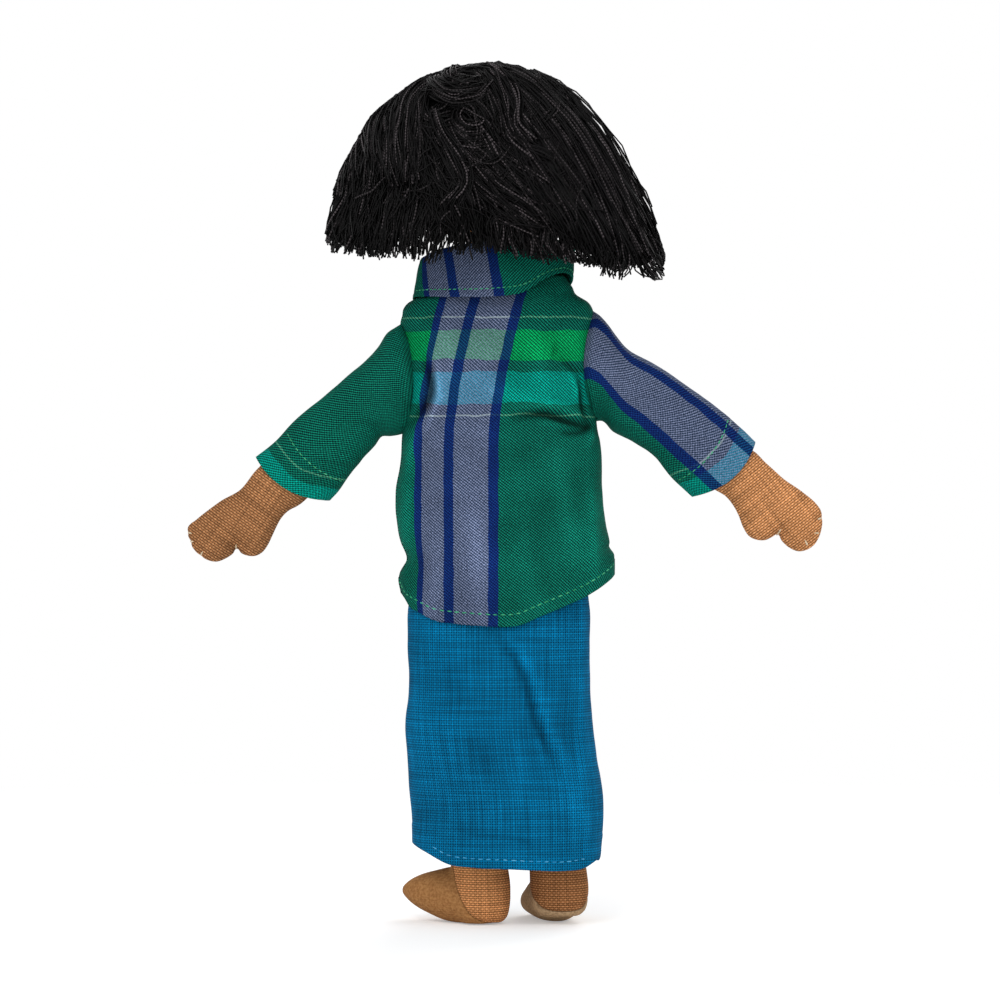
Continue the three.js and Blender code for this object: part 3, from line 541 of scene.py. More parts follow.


# Black cotton floss for the hair: each thread has a tone of its own, at random, whose palest end is painted highlight;
# the twist of its two plies is painted as glints and shade in short steps along its length
def hairFloss(add):
    _, tone, along = flatPlaces(add, "strandMap")
    colour = add("ValToRGB", [tone], [(0.0, "#000000"), (0.45, "#040304"), (0.72, "#100E0F"), (1.0, "#423D3F")])
    # painted glints: the ply twist as light and dark steps in the colour
    paintedPlyGlint = add("Math SINE", [add("Math MULTIPLY", [along, 4.4])])
    shade = add("MapRange", [paintedPlyGlint, -1, 1, 0.12, 1.88])
    return surfaceOf(add, add("VectorMath SCALE", {0: colour, "Scale": shade}), 0.5, 0.1)


# Cast polyester button: faintly marbled cream, with a soft gloss
def polyesterResin(add):
    place = add("TexCoord").outputs["Object"]
    swirl = add("TexNoise", {"Vector": place, "Scale": 420.0, "Detail": 3.0, "Distortion": 1.6})
    colour = add("ValToRGB", [swirl], [(0.3, "#CDBE9C"), (0.6, "#E6DCC6"), (0.8, "#F0E9D8")])
    return surfaceOf(add, colour, add("MapRange", [swirl, 0.2, 0.8, 0.3, 0.5]), 0.5, ior=1.52)


plaidCloth = newMaterial("handloomedPlaidCotton", plaidCotton)
blueCloth = newMaterial(
    "plainWovenBlueCotton", plainCotton, 1.04, (1, 0.97), ("#016D9C", "#016692", "#01608B"), 0.1, 0.22, 0.00015
)
# One tan cotton in two copies: the left arm's darker by painted shade, the right arm's lighter by painted light; the
# torso and head use the lighter copy
tanCloth = {
    "left": newMaterial("tanCottonPaintedShade", plainCotton, 1.0, (1, 0.5), ("#BF895D", "#B17B51", "#A06B44")),
    "right": newMaterial("tanCottonPaintedLight", plainCotton, 1.0, (1, 0.5), ("#EDAA75", "#DF9A65", "#CC8A55")),
}
# The legs' coarse tan is one cloth in two copies: the left leg's lighter by painted light, the right leg's darker by
# painted shade
footCloth = {
    "left": newMaterial("leftFootCottonPaintedLight", footCotton, ("#E8A36A", "#D6935E", "#C28350"), "#AA7B4C", "#8C6039"),
    "right": newMaterial("rightFootCottonPaintedShade", footCotton, ("#B88054", "#A67046", "#94603A"), "#B99A76", "#93785A"),
}
hairThread = newMaterial("blackCottonThread", hairFloss)
greenThread = newMaterial("greenSewingThread", threadFinish, "#1F8A5C", "#4FB484")
creamThread = newMaterial("creamSewingThread", threadFinish, "#CDB694", "#EADBC0")
blueThread = newMaterial("paleBlueSewingThread", threadFinish, "#1F86B8", "#4FA8D0")
tanThread = newMaterial("tanSewingThread", threadFinish, "#6A4428", "#8E6440")
darkFloss = newMaterial("darkBrownFloss", threadFinish, "#120C0A", "#2A1D18", 0.45, 0.3)
redFloss = newMaterial("redFloss", threadFinish, "#7E2A26", "#A63A32", 0.45, 0.3)
buttonResin = newMaterial("castPolyesterButton", polyesterResin)
print("materials made")


# ---- stuffed limbs


# Joins closed skins into one stuffed skin with an even mesh
def stuffed(name, skins, voxel, smoothing):
    piece = joinPieces(name, skins)
    applyModifier(piece, "REMESH", mode="VOXEL", voxel_size=voxel * unit)
    applyModifier(piece, "SMOOTH", factor=0.5, iterations=smoothing)
    shadeSmooth(piece)
    return piece


# Fibre filling shows as slow lumps under the cloth
def lumpy(piece, size, height, seed):
    spots = pointsOf(piece)
    setPoints(piece, spots + pointsOf(piece, "normal") * (lumps(spots, size, seed) * height)[:, None])


# Flat places for a piece cut from two flat cloths: across and along in the XZ plane
def flatMap(piece, turn):
    x, _, z = pointsOf(piece).T
    flat = np.column_stack([x * math.cos(turn) - z * math.sin(turn), x * math.sin(turn) + z * math.cos(turn)])
    setMap(piece, "clothMap", flat[cornersOf(piece)])


# Flat places for a piece that a cloth is wrapped round: the turn about an upright line, and the height
def wrapMap(piece, middle, radius):
    x, y, z = pointsOf(piece)[cornersOf(piece)].T
    angles = np.arctan2(x - middle, y)
    counts = np.empty(len(piece.data.polygons), int)
    piece.data.polygons.foreach_get("loop_total", counts)
    starts = np.concatenate([[0], np.cumsum(counts)[:-1]])
    span = np.maximum.reduceat(angles, starts) - np.minimum.reduceat(angles, starts)
    angles += np.where(np.repeat(span > math.pi, counts) & (angles < 0), 2 * math.pi, 0)
    setMap(piece, "clothMap", np.column_stack([angles * radius, z]))


# Presses a line of points into a piece, as a seam or a tight stitch does
def pressIn(piece, line, width, depth):
    spots = pointsOf(piece)
    away = np.linalg.norm(spots[:, None] - np.array(line)[None], axis=2).min(axis=1)
    setPoints(piece, spots - pointsOf(piece, "normal") * (depth * np.exp(-((away / width) ** 2)))[:, None])


# A stuffed shape of two flat cloths sewn together along an outline in the XZ plane
def pillow(name, outline, halfDepth, softEdge, spacing):
    dense = smoothPath(np.vstack([outline[-2:], outline, outline[:3]]), 40 * len(outline))
    start = np.argmin(np.linalg.norm(dense[: len(dense) // 3] - outline[0], axis=1))
    end = start + 20 + np.argmin(np.linalg.norm(dense[start + 20 :] - outline[0], axis=1))
    loop = dense[start:end]
    steps = runLength(loop)
    count = int(steps[-1] / (spacing * 0.75))
    at = np.linspace(0, steps[-1], count, endpoint=False)
    edge = np.column_stack([np.interp(at, steps, loop[:, k]) for k in (0, 1)])

    def inside(points):
        a, b = edge, np.roll(edge, -1, axis=0)
        crosses = (a[None, :, 1] > points[:, None, 1]) != (b[None, :, 1] > points[:, None, 1])
        rise = (points[:, None, 1] - a[None, :, 1]) / (b[None, :, 1] - a[None, :, 1] + 1e-12)
        return (crosses & (points[:, None, 0] < a[None, :, 0] + rise * (b - a)[None, :, 0])).sum(axis=1) % 2 == 1

    def depthIn(points):
        return np.linalg.norm(points[:, None] - edge[None], axis=2).min(axis=1)

    ahead = np.roll(edge, -1, axis=0) - np.roll(edge, 1, axis=0)
    ahead /= np.linalg.norm(ahead, axis=1, keepdims=True)
    inward = np.column_stack([-ahead[:, 1], ahead[:, 0]])
    if not inside(edge[:1] + inward[:1] * 0.5)[0]:
        inward = -inward
    # rings close to the seam, and an even net of points within them
    rings = arms["seamRings"]
    inner = [edge]
    for step in rings:
        ring = edge + inward * step
        inner.append(ring[inside(ring) & (depthIn(ring) > step * 0.93)])
    low, high = edge.min(axis=0), edge.max(axis=0)
    gridX, gridZ = np.meshgrid(np.arange(low[0], high[0], spacing), np.arange(low[1], high[1], spacing * 0.87))
    gridX[1::2] += spacing / 2
    middle = np.column_stack([gridX.ravel(), gridZ.ravel()])
    middle = middle[inside(middle)]
    inner.append(middle[depthIn(middle) > rings[-1] + spacing * 0.6])
    found = delaunay_2d_cdt([Vector(p) for p in np.vstack(inner).tolist()], [], [list(range(count))], 1, 1e-5)
    places = np.array([tuple(p) for p in found[0]])
    faces = np.array([list(face) for face in found[2]])
    away = depthIn(places)
    onEdge = away < 1e-3
    lift = np.where(onEdge, 0, halfDepth * np.sqrt(1 - (1 - np.clip(away / softEdge, 0, 1)) ** 2.1))
    number = np.arange(len(places)) + np.where(onEdge, 0, len(places))
    skins = [np.column_stack([places[:, 0], side * lift, places[:, 1]]) for side in (1, -1)]
    piece = makeMesh(name, np.vstack(skins), np.vstack([faces, number[faces[:, ::-1]]]))
    turnOutwards(piece)
    applyModifier(piece, "SUBSURF", levels=1, render_levels=1)
    shadeSmooth(piece)
    return piece


# Outlines of both arms, round the hand and its thumb. The upper part is inside the sleeve.
# Finger stitches run from the edge inwards and pull it in, and so does the notch of the thumb.
arms = {
    "left": {
        "outline": [
            (44, 238), (60, 226), (80, 210), (96, 197.5), (104.6, 190.4), (110.9, 182.3), (119.7, 177.2),
            (126.6, 172), (130.4, 168.9), (132.5, 167.4), (133.5, 165.6), (133.4, 163.6), (132.7, 160.9),
            (131.2, 157.6), (128.6, 154.6), (125.2, 152.6), (121.0, 151.8), (117.0, 153.2), (113.9, 155.3),
            (112.6, 156.9), (111.2, 155.6), (108.2, 154.4), (104.8, 154.3), (101.8, 155.7), (99.3, 158.8),
            (97.7, 162.5), (96, 166.3), (93.6, 170.3), (90.7, 173.3), (86.9, 175.4), (77, 185), (65, 197),
            (54, 208), (44, 214),
        ],
        "stitches": [
            ((133.2, 164.2), (130.7, 163.6)), ((132.4, 160.3), (129.9, 160.4)),
            ((127.7, 154.3), (126.5, 156.6)), ((112.6, 156.9), (112.9, 159.8)),
        ],
        "slope": 35,
    },
    "right": {
        "outline": [
            (-42, 241), (-58, 229), (-74, 218), (-90, 206.5), (-99, 200.5), (-104.2, 198.6), (-110, 192.8),
            (-116.8, 186.9), (-125.6, 180.6), (-130.2, 176.8), (-132.7, 173.5), (-133.5, 170.1),
            (-133.1, 166.3), (-131.9, 162.4), (-129.7, 158.8), (-126.8, 156.7), (-123.4, 156), (-119.6, 157.5),
            (-116.4, 160.3), (-114.3, 162.9), (-112.6, 162.2), (-109.6, 160.7), (-105.8, 160.8),
            (-102.5, 162.3), (-100, 165.9), (-97.9, 171.4), (-95.3, 176), (-92, 179.8), (-88.2, 182.0),
            (-78, 191), (-66, 200), (-54, 209), (-42, 217),
        ],
        "stitches": [
            ((-133.1, 170.2), (-130.6, 169.5)), ((-131.8, 163.9), (-129.2, 163.9)),
            ((-126.9, 158.6), (-125.4, 161.0)), ((-114.3, 162.9), (-115.6, 166.6)),
        ],
        "slope": -37.5,
    },
    "halfDepth": 8.0,
    "softEdge": 10.5,
    "spacing": 1.5,
    "seamRings": (0.35, 0.95, 1.8),
    "pressWidth": 1.3,
    "pressDepth": 0.8,
}


def makeArm(side, seed):
    plan, body = arms[side], f"arm_{side}"
    arm = pillow(f"stuffedArm_{side}", np.array(plan["outline"]), arms["halfDepth"], arms["softEdge"], arms["spacing"])
    lumpy(arm, 11, 0.35, seed)
    for face in (1, -1):
        for ends in plan["stitches"]:
            spots = dropOnto(arm, smoothPath(ends, 8), face)
            if len(spots) > 2:
                pressIn(arm, [place for place, _ in spots], arms["pressWidth"], arms["pressDepth"])
    flatMap(arm, math.radians(90 - plan["slope"]))
    for number, ends in enumerate(plan["stitches"]):
        spots = dropOnto(arm, smoothPath(ends, 12))
        long = np.linalg.norm(spots[-1][0] - spots[0][0])
        stitch = stitchPiece(f"fingerStitch_{side}_{number + 1}", spots, long, long * 0.9, 0.4, seed=11 + number)
        finish(stitch, body, "tan_cotton", creamThread)
    finish(arm, body, "tan_cotton", tanCloth[side], body)
    print("arm", side, "made:", len(arm.data.polygons), "faces")


makeArm("left", 3)
makeArm("right", 4)

# Legs and feet: a leg tube from the hip to the floor, and a foot with an almond toe
legs = {
    "left": {"ankleX": 10, "hipX": 20, "turn": 58, "heelRise": 0},
    "right": {"ankleX": -22.8, "hipX": -14, "turn": 11, "heelRise": 3.1},
    # height, share of the way from the ankle to the hip, shares of the radius sideways and in depth
    "levels": [
        (0.3, 0, 0.72, 0.72), (2.4, 0, 0.9, 0.9), (6, 0, 0.99, 0.99), (14, 0, 1.01, 1.0), (28, 0.1, 0.97, 0.95),
        (75, 0.5, 1.02, 1.0), (100, 0.9, 1.0, 0.92), (125, 1, 0.95, 0.6), (136, 1, 0.8, 0.4), (144.5, 1, 0.5, 0.25),
    ],
    # the foot's side outline: distance ahead of the ankle, top, underside and half width
    "footOutline": {
        "left": [
            (-9, 13, 4, 6), (-3, 20.5, 0, 10.4), (6, 24, -0.4, 12), (14, 23.0, 0.0, 12.2),
            (21.3, 21.4, 1.9, 11.6), (29, 19.2, 5.0, 9.4), (35, 16.1, 8.2, 5.8), (38, 13.8, 10.2, 2.8),
            (39.2, 12.4, 11.4, 0.6),
        ],
        "right": [
            (-9, 12, 7.4, 5), (-4, 19, 4.0, 9.4), (3, 22, 0.8, 11.0), (12, 20.5, -0.4, 11.8),
            (20, 17.0, -0.2, 11.8), (28, 13.6, 0.2, 11.2), (34, 11.2, 1.0, 8.6), (37.6, 9.2, 2.4, 5.2),
            (39.2, 7.4, 4.4, 1.2),
        ],
    },
    # how far ahead of the ankle the foot panel's seam lies, at heights from the floor
    "seams": {
        "left": [(0, -8), (2.1, -4.7), (8.4, 1), (18.5, 6.3), (26, 9)],
        "right": [(0, -26), (4.6, -16), (5.6, -11.5), (9.7, -4.6), (12.4, -0.3), (18, 8), (26, 14)],
    },
    "radius": 12.2,
    "soleHeight": 5,
    "voxel": 0.8,
    "floorGap": 0.05,
    "grooveDepth": 0.5,
    "grooveWidth": 0.9,
}


# A leg's tube and foot in one skin, cut at the sole
def makeLeg(side, seed):
    plan, radius = legs[side], legs["radius"]
    levels = np.array(legs["levels"])
    levels[:3, 0] += plan["heelRise"]
    heights = np.linspace(levels[0, 0], levels[-1, 0], 60)
    table = smooth(levels[:, 0], levels[:, 1:], heights)
    across, out = section(40)
    middle = plan["ankleX"] + (plan["hipX"] - plan["ankleX"]) * table[:, :1]
    x, y = middle + radius * table[:, 1:2] * across, radius * table[:, 2:3] * out
    tube = tubePiece(f"legSkin_{side}", np.stack([x, y, heights[:, None] + 0 * x], axis=-1))
    outline = np.array(legs["footOutline"][side])
    ahead = np.linspace(outline[0, 0], outline[-1, 0], 48)[:, None]
    top, under, wide = smooth(outline[:, 0], outline[:, 1:], ahead[:, 0]).T[..., None]
    up, out = section(40, 2.2)
    swing = math.radians(plan["turn"])
    footX = plan["ankleX"] + ahead * math.sin(swing) + wide * out * math.cos(swing)
    footY = wide * out * math.sin(swing) - ahead * math.cos(swing)
    rise = (top + under) / 2 + (top - under) / 2 * up
    foot = tubePiece(f"footSkin_{side}", np.stack([footX, footY, rise], axis=-1))
    for skin in (tube, foot):
        turnOutwards(skin)
    leg = stuffed(f"stuffedLeg_{side}", [tube, foot], legs["voxel"], 6)
    lumpy(leg, 12, 0.3, seed)
    spots = pointsOf(leg)
    spots[:, 2] = np.maximum(spots[:, 2], legs["floorGap"])
    leg.data.vertices.foreach_set("co", (spots * unit).ravel())
    wrapMap(leg, plan["ankleX"], radius)
    # the seam of the foot's panel is drawn in
    groove = legs["grooveDepth"] * np.exp(-((beyondSeam(side, spots) / legs["grooveWidth"]) ** 2))
    spots -= pointsOf(leg, "normal") * groove[:, None]
    leg.data.vertices.foreach_set("co", (spots * unit).ravel())
    # the sole is a panel of its own
    sole = leg.copy()
    sole.data = leg.data.copy()
    sole.name = f"solePanel_{side}"
    bpy.context.scene.collection.objects.link(sole)
    for piece, below, slot, node in ((leg, False, "tan_cotton", "leg"), (sole, True, "sole_cotton", "sole")):
        selectOnly(piece)
        bpy.ops.object.mode_set(mode="EDIT")
        bpy.ops.mesh.select_all(action="SELECT")
        bpy.ops.mesh.bisect(
            plane_co=(0, 0, legs["soleHeight"] * unit),
            plane_no=(0, 0, 1),
            clear_inner=not below,
            clear_outer=below,
            use_fill=True,
        )
        bpy.ops.object.mode_set(mode="OBJECT")
        bpy.ops.object.shade_smooth_by_angle(angle=math.radians(50))
        keepValues(piece, "seamSide", beyondSeam(side, pointsOf(piece)))
        finish(piece, f"leg_{side}", slot, footCloth[side], f"{node}_{side}")
    print("leg", side, "made:", len(leg.data.polygons), "faces")


# How far each point is beyond the seam of the foot's panel, in millimetres
def beyondSeam(side, spots):
    swing = math.radians(legs[side]["turn"])
    ahead = (spots[:, 0] - legs[side]["ankleX"]) * math.sin(swing) - spots[:, 1] * math.cos(swing)
    heights, places = np.array(legs["seams"][side]).T
    steep = np.interp(spots[:, 2], heights, np.gradient(places, heights))
    away = (ahead - smooth(heights, places, spots[:, 2])) / np.sqrt(1 + steep**2)
    return np.where(spots[:, 2] > 25, -5, away)


makeLeg("left", 8)
makeLeg("right", 9)

# Torso and head, mostly hidden under the clothes and the hair
trunk = {
    "middle": 3,
    # height, half width, half depth
    "levels": [
        (140.5, 31, 13), (145, 33.4, 15.4), (160, 33.8, 16.4), (175, 34, 17.2), (205, 37.8, 17.6),
        (230, 38.2, 16.6), (248, 37.6, 15), (258, 33, 14), (264, 26, 13), (269, 17, 11.5),
    ],
    "voxel": 1.4,
    "tilt": 3,  # the right shoulder is this much higher than the middle, the left one lower
    "tiltFrom": 178,
    "tiltTo": 236,
}


def tiltAt(share, height):
    rise = np.clip((height - trunk["tiltFrom"]) / (trunk["tiltTo"] - trunk["tiltFrom"]), 0, 1)
    return -trunk["tilt"] * share * rise**2 * (3 - 2 * rise)


def makeTorso():
    levels = np.array(trunk["levels"])
    heights = np.linspace(levels[0, 0], levels[-1, 0], 60)
    table = smooth(levels[:, 0], levels[:, 1:], heights)
    across, out = section(72, 2.3)
    x, y = trunk["middle"] + table[:, :1] * across, table[:, 1:2] * out
    z = heights[:, None] + tiltAt(across[None, :], heights[:, None])
    torso = tubePiece("stuffedTorso_skin", np.stack([x, y, z], axis=-1))
    turnOutwards(torso)
    torso = stuffed("stuffedTorso", [torso], trunk["voxel"], 3)
    wrapMap(torso, trunk["middle"], 30)
    finish(torso, "torso", "tan_cotton", tanCloth["right"], "torso")
    print("torso made")


makeTorso()

headPlan = {
    "middle": (3, 0, 318),
    "halfSizes": (38, 31, 33),
    "chinRise": -8,  # below this the cheeks are fuller
    "neckRadius": 11,
    "neckFoot": 262,
    "voxel": 1.2,
}


def makeHead():
    middle = Vector(headPlan["middle"]) * unit
    bpy.ops.mesh.primitive_uv_sphere_add(segments=64, ring_count=40, radius=1, location=middle)
    ball = bpy.context.object
    ball.scale = Vector(headPlan["halfSizes"]) * unit
    bpy.ops.object.transform_apply(location=True, rotation=True, scale=True)
    bpy.ops.object.mode_set(mode="EDIT")
    bpy.ops.mesh.select_all(action="DESELECT")
    bpy.ops.object.mode_set(mode="OBJECT")
    for vertex in ball.data.vertices:
        vertex.select = vertex.co.z < middle.z + headPlan["chinRise"] * unit
    bpy.ops.object.mode_set(mode="EDIT")
    bpy.ops.transform.resize(value=(1.03, 1.03, 1.0), center_override=middle)
    bpy.ops.object.mode_set(mode="OBJECT")
    depth = middle.z - headPlan["neckFoot"] * unit
    place = middle - Vector((0, 0, depth / 2))
    bpy.ops.mesh.primitive_cylinder_add(
        vertices=40, radius=headPlan["neckRadius"] * unit, depth=depth, location=place
    )
    neck = bpy.context.object
    bpy.ops.object.mode_set(mode="EDIT")
    bpy.ops.mesh.select_all(action="SELECT")
    bpy.ops.mesh.subdivide(number_cuts=3)
    bpy.ops.object.mode_set(mode="OBJECT")
    bpy.ops.object.transform_apply(location=True, rotation=True, scale=True)
    head = stuffed("stuffedHead", [ball, neck], headPlan["voxel"], 5)
    lumpy(head, 16, 0.35, 5)
    wrapMap(head, headPlan["middle"][0], 34)
    return head


head = makeHead()

# A plain stitched face: almond eyes, thin brows, two nostril stitches and a small smile.
# Rises are from the middle of the head.
face = {
    "eyeSpacing": 12,
    "eyeRise": -4,
    "eyeHalfWidth": 3.5,
    "eyeHalfHeight": 2.5,
    "eyeThreads": 15,
    "browRise": 3,
    "browHalfWidth": 5,
    "noseRise": -11,
    "mouthRise": -21,
    "mouthHalfWidth": 6,
}


def onFace(points):
    x, _, z = headPlan["middle"]
    return dropOnto(head, [(x + side, z + rise) for side, rise in points], -1)


# A tube of floss along a line on the face
def flossLine(name, points, radius, material, slot, *node):
    places, out = (np.array(part) for part in zip(*onFace(smoothPath(points, 24))))
    places += out * radius * 0.45
    ahead = np.gradient(places, axis=0)
    ahead /= np.linalg.norm(ahead, axis=1, keepdims=True)
    taper = np.sqrt(np.clip(1 - np.linspace(-1, 1, len(places)) ** 6, 0.1, 1)) * radius
    turn = np.linspace(0, 2 * math.pi, 8, endpoint=False)[None, :, None]
    ring = np.cross(ahead, out)[:, None] * np.cos(turn) + out[:, None] * np.sin(turn)
    piece = tubePiece(name, places[:, None] + ring * taper[:, None, None])
    shadeSmooth(piece)
    finish(piece, "head", slot, material, *node)


# Satin stitch: threads side by side fill the almond of an eye
def satinEye(side, word):
    pieces = []
    for t in np.linspace(-0.94, 0.94, face["eyeThreads"]):
        half = face["eyeHalfHeight"] * (1 - abs(t) ** 2.2) + 0.2
        x, z = face["eyeSpacing"] * side + t * face["eyeHalfWidth"], face["eyeRise"]
        spots = onFace([(x, z - half), (x + 0.15, z), (x, z + half)])
        pieces.append(stitchPiece("eyeStitch", spots, half * 2, half * 1.9, 0.36, unevenness=0.03))
    finish(joinPieces(f"satinEye_{word}", pieces), "head", "dark_floss", darkFloss, f"eye_{word}")


def makeFace():
    dark = darkFloss, "dark_floss"
    for side, word in ((1, "left"), (-1, "right")):
        satinEye(side, word)
        x, z, wide = face["eyeSpacing"] * side, face["browRise"], face["browHalfWidth"]
        brow = [(x - wide, z - 1), (x, z + 0.8), (x + wide, z - 1)]
        flossLine(f"stitchedBrow_{word}", brow, 0.45, *dark, f"eyebrow_{word}")
        z, wide = face["eyeRise"], face["eyeHalfWidth"] + 0.6
        lid = [(x - wide, z), (x, z + face["eyeHalfHeight"] + 1.0), (x + wide, z)]
        flossLine(f"stitchedLid_{word}", lid, 0.3, *dark)
        nose = [(side * 1.6, face["noseRise"]), (side * 2.6, face["noseRise"] + 0.3)]
        flossLine(f"stitchedNostril_{word}", nose, 0.35, tanThread, "tan_cotton")
    wide, z = face["mouthHalfWidth"], face["mouthRise"]
    flossLine("stitchedMouth", [(-wide, z), (0, z - 1.8), (wide, z)], 0.6, redFloss, "red_floss", "mouth")
    finish(head, None, "tan_cotton", tanCloth["right"], "head")
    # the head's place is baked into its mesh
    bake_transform(head)
    print("head and face made")


makeFace()


# ---- clothes


# Skirt: a narrow tube of blue cloth, hemmed, with a soft fold that slants down the back
skirt = {
    "cloth": 0.5,
    "top": 151,
    "roundness": 2.7,
    # height, left edge, right edge, half depth
    "edges": [
        (22, 38.4, -40.6, 27), (34, 38.8, -40.8, 27), (49, 39.3, -41.2, 26.6), (60, 40.2, -40.2, 26),
        (68, 40.7, -38.6, 25.4), (86, 41.4, -36.2, 24.2), (95, 40.4, -35.8, 23.6), (118, 40.8, -35.7, 22),
        (132, 40.6, -35.6, 21.4), (151, 38.0, -33.0, 19.6),
    ],
    # the lower edge behind: side, height
    "hem": [
        (-41.5, 33), (-40.5, 29), (-37.8, 27.6), (-33.6, 25.2), (-25.6, 24.3), (-13.4, 24.6), (-0.8, 25.2),
        (14.3, 25.8), (23.5, 27), (31.5, 31), (38.6, 34.6), (41, 36),
    ],
    "hemMiddle": -1.15,
    "hemHalfWidth": 39.7,
    # start, end, width, height of each fold behind and in front
    "folds": [
        ((-23, 70), (-34, 40), 6.5, 0.7), ((-31.8, 140), (-32.6, 40), 2.2, 0.7), ((36, 90), (30, 40), 6, 0.6),
        ((-6, 62), (-6, 44), 3, 0.5), ((-25, 98), (-27, 66), 3.5, -0.7), ((11.6, 77), (2, 56), 4.5, -0.6),
        ((33, 68), (31, 36), 5, -0.6),
    ],
    "frontFolds": [((-12, 120), (16, 62), 6, 1.2), ((14, 100), (24, 40), 5, 0.9)],
    # line, width and height of each crease behind
    "creases": [
        ([(3.6, 122), (-3.2, 112.6), (-8.0, 104.2), (-10.3, 94.9), (-13.7, 83.2), (-18.9, 72.7),
          (-22.5, 64)], 1.7, -1.9),
        ([(0.2, 123), (-7.2, 113), (-12.4, 104), (-14.8, 94.9), (-18.4, 84), (-23, 75), (-27, 66)], 2.4, 1.3),
        ([(20, 41), (11.6, 39), (-3, 38), (-9.4, 36), (-14.7, 30.7)], 1.1, -0.7),
    ],
    "lumps": ((26, 2, 0.9), (9, 4, 0.22)),
    "hemDepth": 7.5,
    "hemThickness": 0.25,
    "stitch": {"spacing": 3.4, "length": 2.1, "radius": 0.24, "sink": 0.5, "seed": 31},
}


def makeSkirt():
    columns, rows = 192, 104
    edges, hem = np.array(skirt["edges"]), np.array(skirt["hem"])
    across, out = section(columns, skirt["roundness"])
    low = smooth(hem[:, 0], hem[:, 1], skirt["hemMiddle"] + across * skirt["hemHalfWidth"])
    z = low + (np.linspace(0, 1, rows) ** 1.05)[:, None] * (skirt["top"] - low)
    left, right, depth = np.moveaxis(smooth(edges[:, 0], edges[:, 1:], z), -1, 0)
    x = (left + right) / 2 + (left - right) / 2 * across
    points = np.stack([x, depth * out, z], axis=-1)
    distance = rowDistance(points, columns // 4)
    flat = np.stack([distance, np.concatenate([z, z[:, :1]], axis=1)], axis=-1)
    lift = (raised(foldShare, x, z, skirt["folds"]) + raised(creaseShare, x, z, skirt["creases"])) * (out > 0)
    lift += raised(foldShare, x, z, skirt["frontFolds"]) * (out < 0)
    lift += lumpyCloth(points, skirt["lumps"], np.clip((140 - z) / 60, 0.15, 1))
    lift += np.where(z - low < skirt["hemDepth"], skirt["hemThickness"], 0)
    points += gridNormals(points) * lift[..., None]
    piece = clothPiece("blueSkirt", points, flat, skirt["cloth"], lift)
    hemLine = [(side, height + skirt["hemDepth"] - 3.7) for side, height in skirt["hem"][3:-2]]
    stitches = sewnLine(
        "skirtHemStitch", piece, smoothPath(hemLine, 120), "skirt", "blue_cotton", blueThread, **skirt["stitch"]
    )
    finish(piece, None, "blue_cotton", blueCloth, "skirt")
    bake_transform(piece)


makeSkirt()

